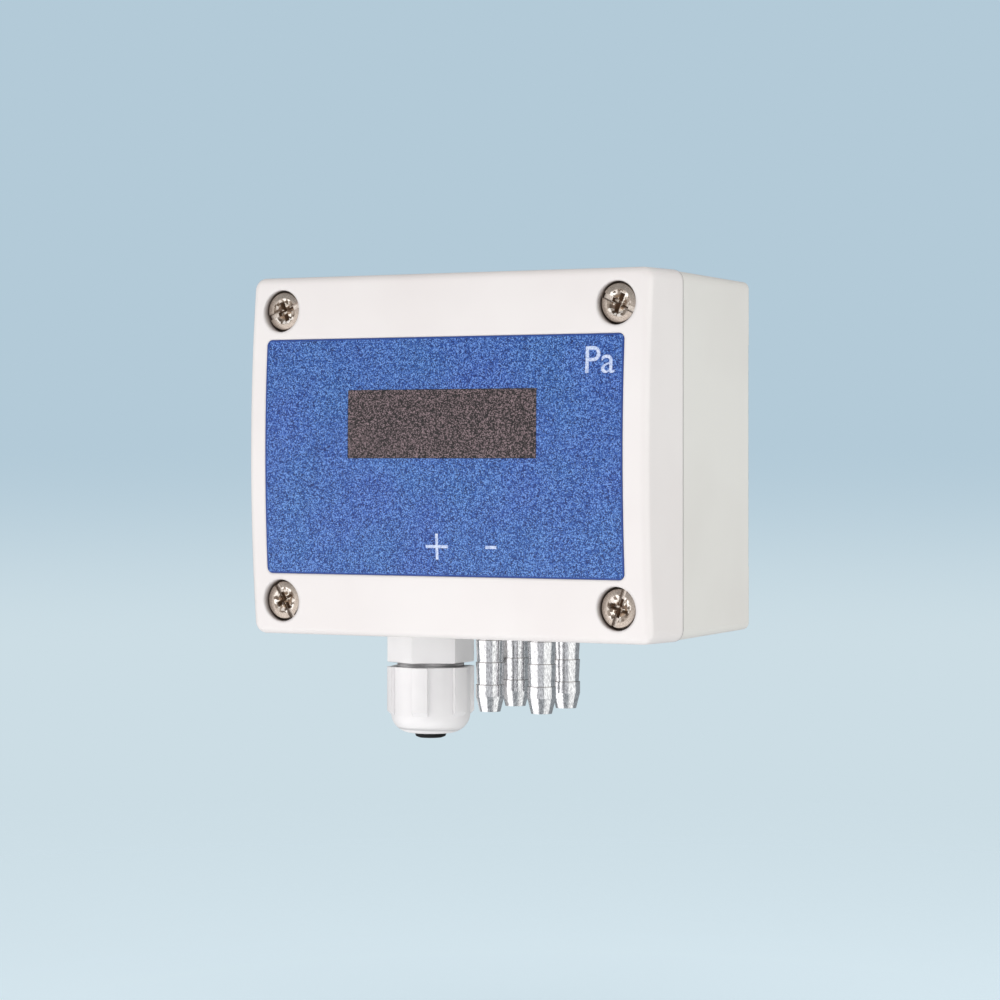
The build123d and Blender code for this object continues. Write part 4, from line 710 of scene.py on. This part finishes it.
lamps, tree, shader, spot = finish("tinted lamp resin", 0.15, ior=1.54, Transmission_Weight=0.3)
along = add(tree, "MapRange", {"Value": add(tree, "SeparateXYZ", {0: spot}, out="X"), 1: 28 * MM, 2: 40 * MM})
tint = add(tree, "ValToRGB", {"Fac": along}, stops={0.0: "#3faa4a", 0.333: "#e0a52c", 0.667: "#c93a2e"})
tint.node.color_ramp.interpolation = "CONSTANT"
haze = add(tree, "TexNoise", {"Vector": spot, "Scale": per_mm(0.8)})
wire(tree, shader, Base_Color=tint, Roughness=add(tree, "MapRange", {"Value": haze, 3: 0.08, 4: 0.25}))
paint(["status_leds"], lamps)

digits, tree, shader, spot = finish("black display face", 0.4)
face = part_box("led_display")[0][1]
behind = add(tree, "SeparateXYZ", {0: spot}, out="Y")
lit = add(tree, "MapRange", {"Value": behind, 1: face + 0.05 * MM, 2: face + 0.10 * MM})
body = add(tree, "MapRange", {"Value": behind, 1: face + 0.8 * MM, 2: face + 0.7 * MM})
lit = add(tree, "Math", {0: lit, 1: body}, operation="MULTIPLY")
pad = add(tree, "TexNoise", {"Vector": spot, "Scale": per_mm(1.2)})
dull = add(tree, "ValToRGB", {"Fac": pad}, stops={0.3: "#c9c6bf", 0.7: "#d8d5ce"})
black = add(tree, "ValToRGB", {"Fac": pad}, stops={0.3: "#131315", 0.7: "#1b1b1e"})
wire(tree, shader, Base_Color=add(tree, "Mix", {0: lit, 6: black, 7: dull}, out=2, data_type="RGBA"))
paint(["led_display"], digits)

# %% [markdown]
# ## Fine parts of the main board
#
# A real board is crowded: copper tracks under the green mask, plated holes, a white frame round each
# part, and dozens of chip resistors. They are too small for the CAD model. They could be painted on the
# board, but even a track stands a little proud and catches the light. So they are built here as a few
# meshes that ride on the box. Each is drawn as boxes on the face of the board, in millimetres.

# %% Fine parts
BOARD_Y, SUNK_MM, PAD_MM, END_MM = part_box("main_board")[0][1] / MM, 0.02, 0.75, 0.72


def boxes_piece(name, material, boxes):
    """One mesh of boxes on the board, each (x, z, width, height, up, turn) in mm and degrees."""
    made = bmesh.new()
    for x, z, width, height, up, turn in boxes:
        cube = bmesh.ops.create_cube(made, size=1.0)["verts"]
        ca, sa = math.cos(math.radians(turn)), math.sin(math.radians(turn))
        for v in cube:
            across, along = v.co.x * width, v.co.z * height
            deep = BOARD_Y + SUNK_MM - up * (0.5 - v.co.y)
            v.co = Vector((x + across * ca - along * sa, deep, z + across * sa + along * ca)) * MM
    mesh = bpy.data.meshes.new(name)
    made.to_mesh(mesh)
    made.free()
    link_piece(name, mesh, material, "housing")


def frame_round(x, z, width, height, line=0.18):
    """Four thin bars round a part."""
    sides = [(x + s * width / 2, z, line, height + line, 0.04, 0) for s in (-1, 1)]
    return sides + [(x, z + s * height / 2, width + line, line, 0.04, 0) for s in (-1, 1)]


def track(points, width=0.5):
    """Bars along a run of points."""
    run = []
    for (x0, z0), (x1, z1) in zip(points, points[1:]):
        length = math.hypot(x1 - x0, z1 - z0) + width * 0.8
        turn = math.degrees(math.atan2(z1 - z0, x1 - x0))
        run.append(((x0 + x1) / 2, (z0 + z1) / 2, length, width, 0.06, turn))
    return run


# %% Tracks, holes and print
copper = plain("copper under green mask", "#1d6a4b", "#227555", 0.34, 0.6, 0.002)
white_print = plain("white board print", "#d5d8d4", "#e6e8e4", 0.6)
tinned = plain("tinned copper", *TIN, 0.3, 0.3, metallic=1.0)

runs = [[(34.2, 6 + 1.1 * n), (33.0 - n, 6 + 1.1 * n), (33.0 - n, -6 - n), (8 - n, -6 - n)] for n in range(5)]
runs += [[(34.2, 12 + n), (31.5 - n, 12 + n), (28 - n, 15.5 + n), (14, 15.5 + n)] for n in range(4)]
runs += [[(46.0, 7 + n), (46.9, 7 + n), (46.9, 7.2 + n)] for n in range(3)]
runs += [[(-45.58 + 3.81 * n, -10.4), (-45.58 + 3.81 * n, -6 + n), (-36 + 3 * n, -3 + n)] for n in range(6)]
runs += [[(-36.5, 11.5), (-34, 14), (-34, 19)], [(-36.5, 4.3), (-27, 4.3)], [(-25, 14), (-25, 20), (-29, 24)]]
runs += [[(30 + 4 * n, 20.2), (30 + 4 * n, 17)] for n in range(3)]
runs += [[(-17 + 1.3 * n, 3.5), (-17 + 1.3 * n, -8 + n), (-8 + 2 * n, -10 + n)] for n in range(2)]
tracks = [bar for points in runs for bar in track(points)]
boxes_piece("board_tracks", copper, tracks)

ends = [run[k] for run in runs for k in (0, -1)]
holes = [(x, z, PAD_MM, PAD_MM, 0.09, turn) for turn in (45, 0) for x, z in ends]
boxes_piece("board_pads", tinned, holes)

framed = [
    (40.5, 10, 15, 15), (-21, 8, 10, 10), (34, -17, 9.5, 4.5), (41, -14, 7.5, 7.5), (-35.6, -15.2, 25.4, 9.6),
]
framed += [(15, 8, 19, 13), (-5, 8, 19, 13), (-40, 4.25, 7.2, 7.0), (-40, 11.45, 7.2, 7.0)]
print_lines = [bar for outline in framed for bar in frame_round(*outline)]
print_lines += [
    (33.9, 16.8, 0.9, 0.9, 0.04, 0), (-20.3, 21.6, 0.9, 0.9, 0.04, 0), (19, -11.2, 12, 0.25, 0.04, 0),
]
boxes_piece("board_print", white_print, print_lines)

# %% Chip resistors and small chips
resistors = [(28, 3 + 2.6 * n, 0) for n in range(4)] + [(31.6, -1.5 - 2.4 * n, 0) for n in range(3)]
resistors += [(30 + 4 * n, 18.0, 90) for n in range(3)] + [(-31, 1.5 + 2.5 * n, 0) for n in range(5)]
resistors += [(36 + 2.6 * n, -4.5, 90) for n in range(3)] + [(-45.58 + 3.81 * n, -8.2, 90) for n in range(6)]
resistors += [(12 + 3 * n, 22.5, 90) for n in range(4)] + [(18 + 3 * n, -13.6, 0) for n in range(3)]
capacitors = [
    (36.2, 1.9, 0), (40.2, 1.9, 0), (44.2, 1.9, 0), (-14.2, -11.5, 90), (-11.2, -11.5, 90), (-38, 17.8, 0),
]
caps_light = [(x, z, 1.3, 0.85, 0.8, turn) for x, z, turn in capacitors]
glaze = plain("glazed chip resistors", "#18181a", "#222225", 0.3)
flat_chips = [(x, z, 1.1, 0.78, 0.45, turn) for x, z, turn in resistors]
boxes_piece("chip_resistors", glaze, flat_chips)
ceramic = plain("ceramic chip capacitors", "#a58a63", "#b39a73", 0.5)
boxes_piece("chip_capacitors", ceramic, caps_light)
ends = []
for parts, up in ((resistors, 0.47), (capacitors, 0.83)):
    for x, z, turn in parts:
        for side in (-END_MM, END_MM):
            dx, dz = side * math.cos(math.radians(turn)), side * math.sin(math.radians(turn))
            ends.append((x + dx, z + dz, 0.35, 0.86, up, turn))
boxes_piece("chip_ends", tinned, ends)

small_chips = [(-22, 20, 5.0, 3.9), (-34, 22, 6.5, 3.6), (20, 19.2, 5.0, 3.9), (20.5, -8.3, 4.9, 3.2)]
chip_bodies = [(x, z, width, tall, 1.5, 0) for x, z, width, tall in small_chips]
boxes_piece("small_chips", plain("moulded small chips", *BLACK, 0.5), chip_bodies)
PIN_PITCH = 1.27
legs = [
    (x + (n - 1.5) * PIN_PITCH, z + side * (tall / 2 + 0.5), 0.42, 1.1, 0.35, 0)
    for x, z, width, tall in small_chips
    for n in range(4)
    for side in (-1, 1)
]
boxes_piece("small_chip_legs", tinned, legs)
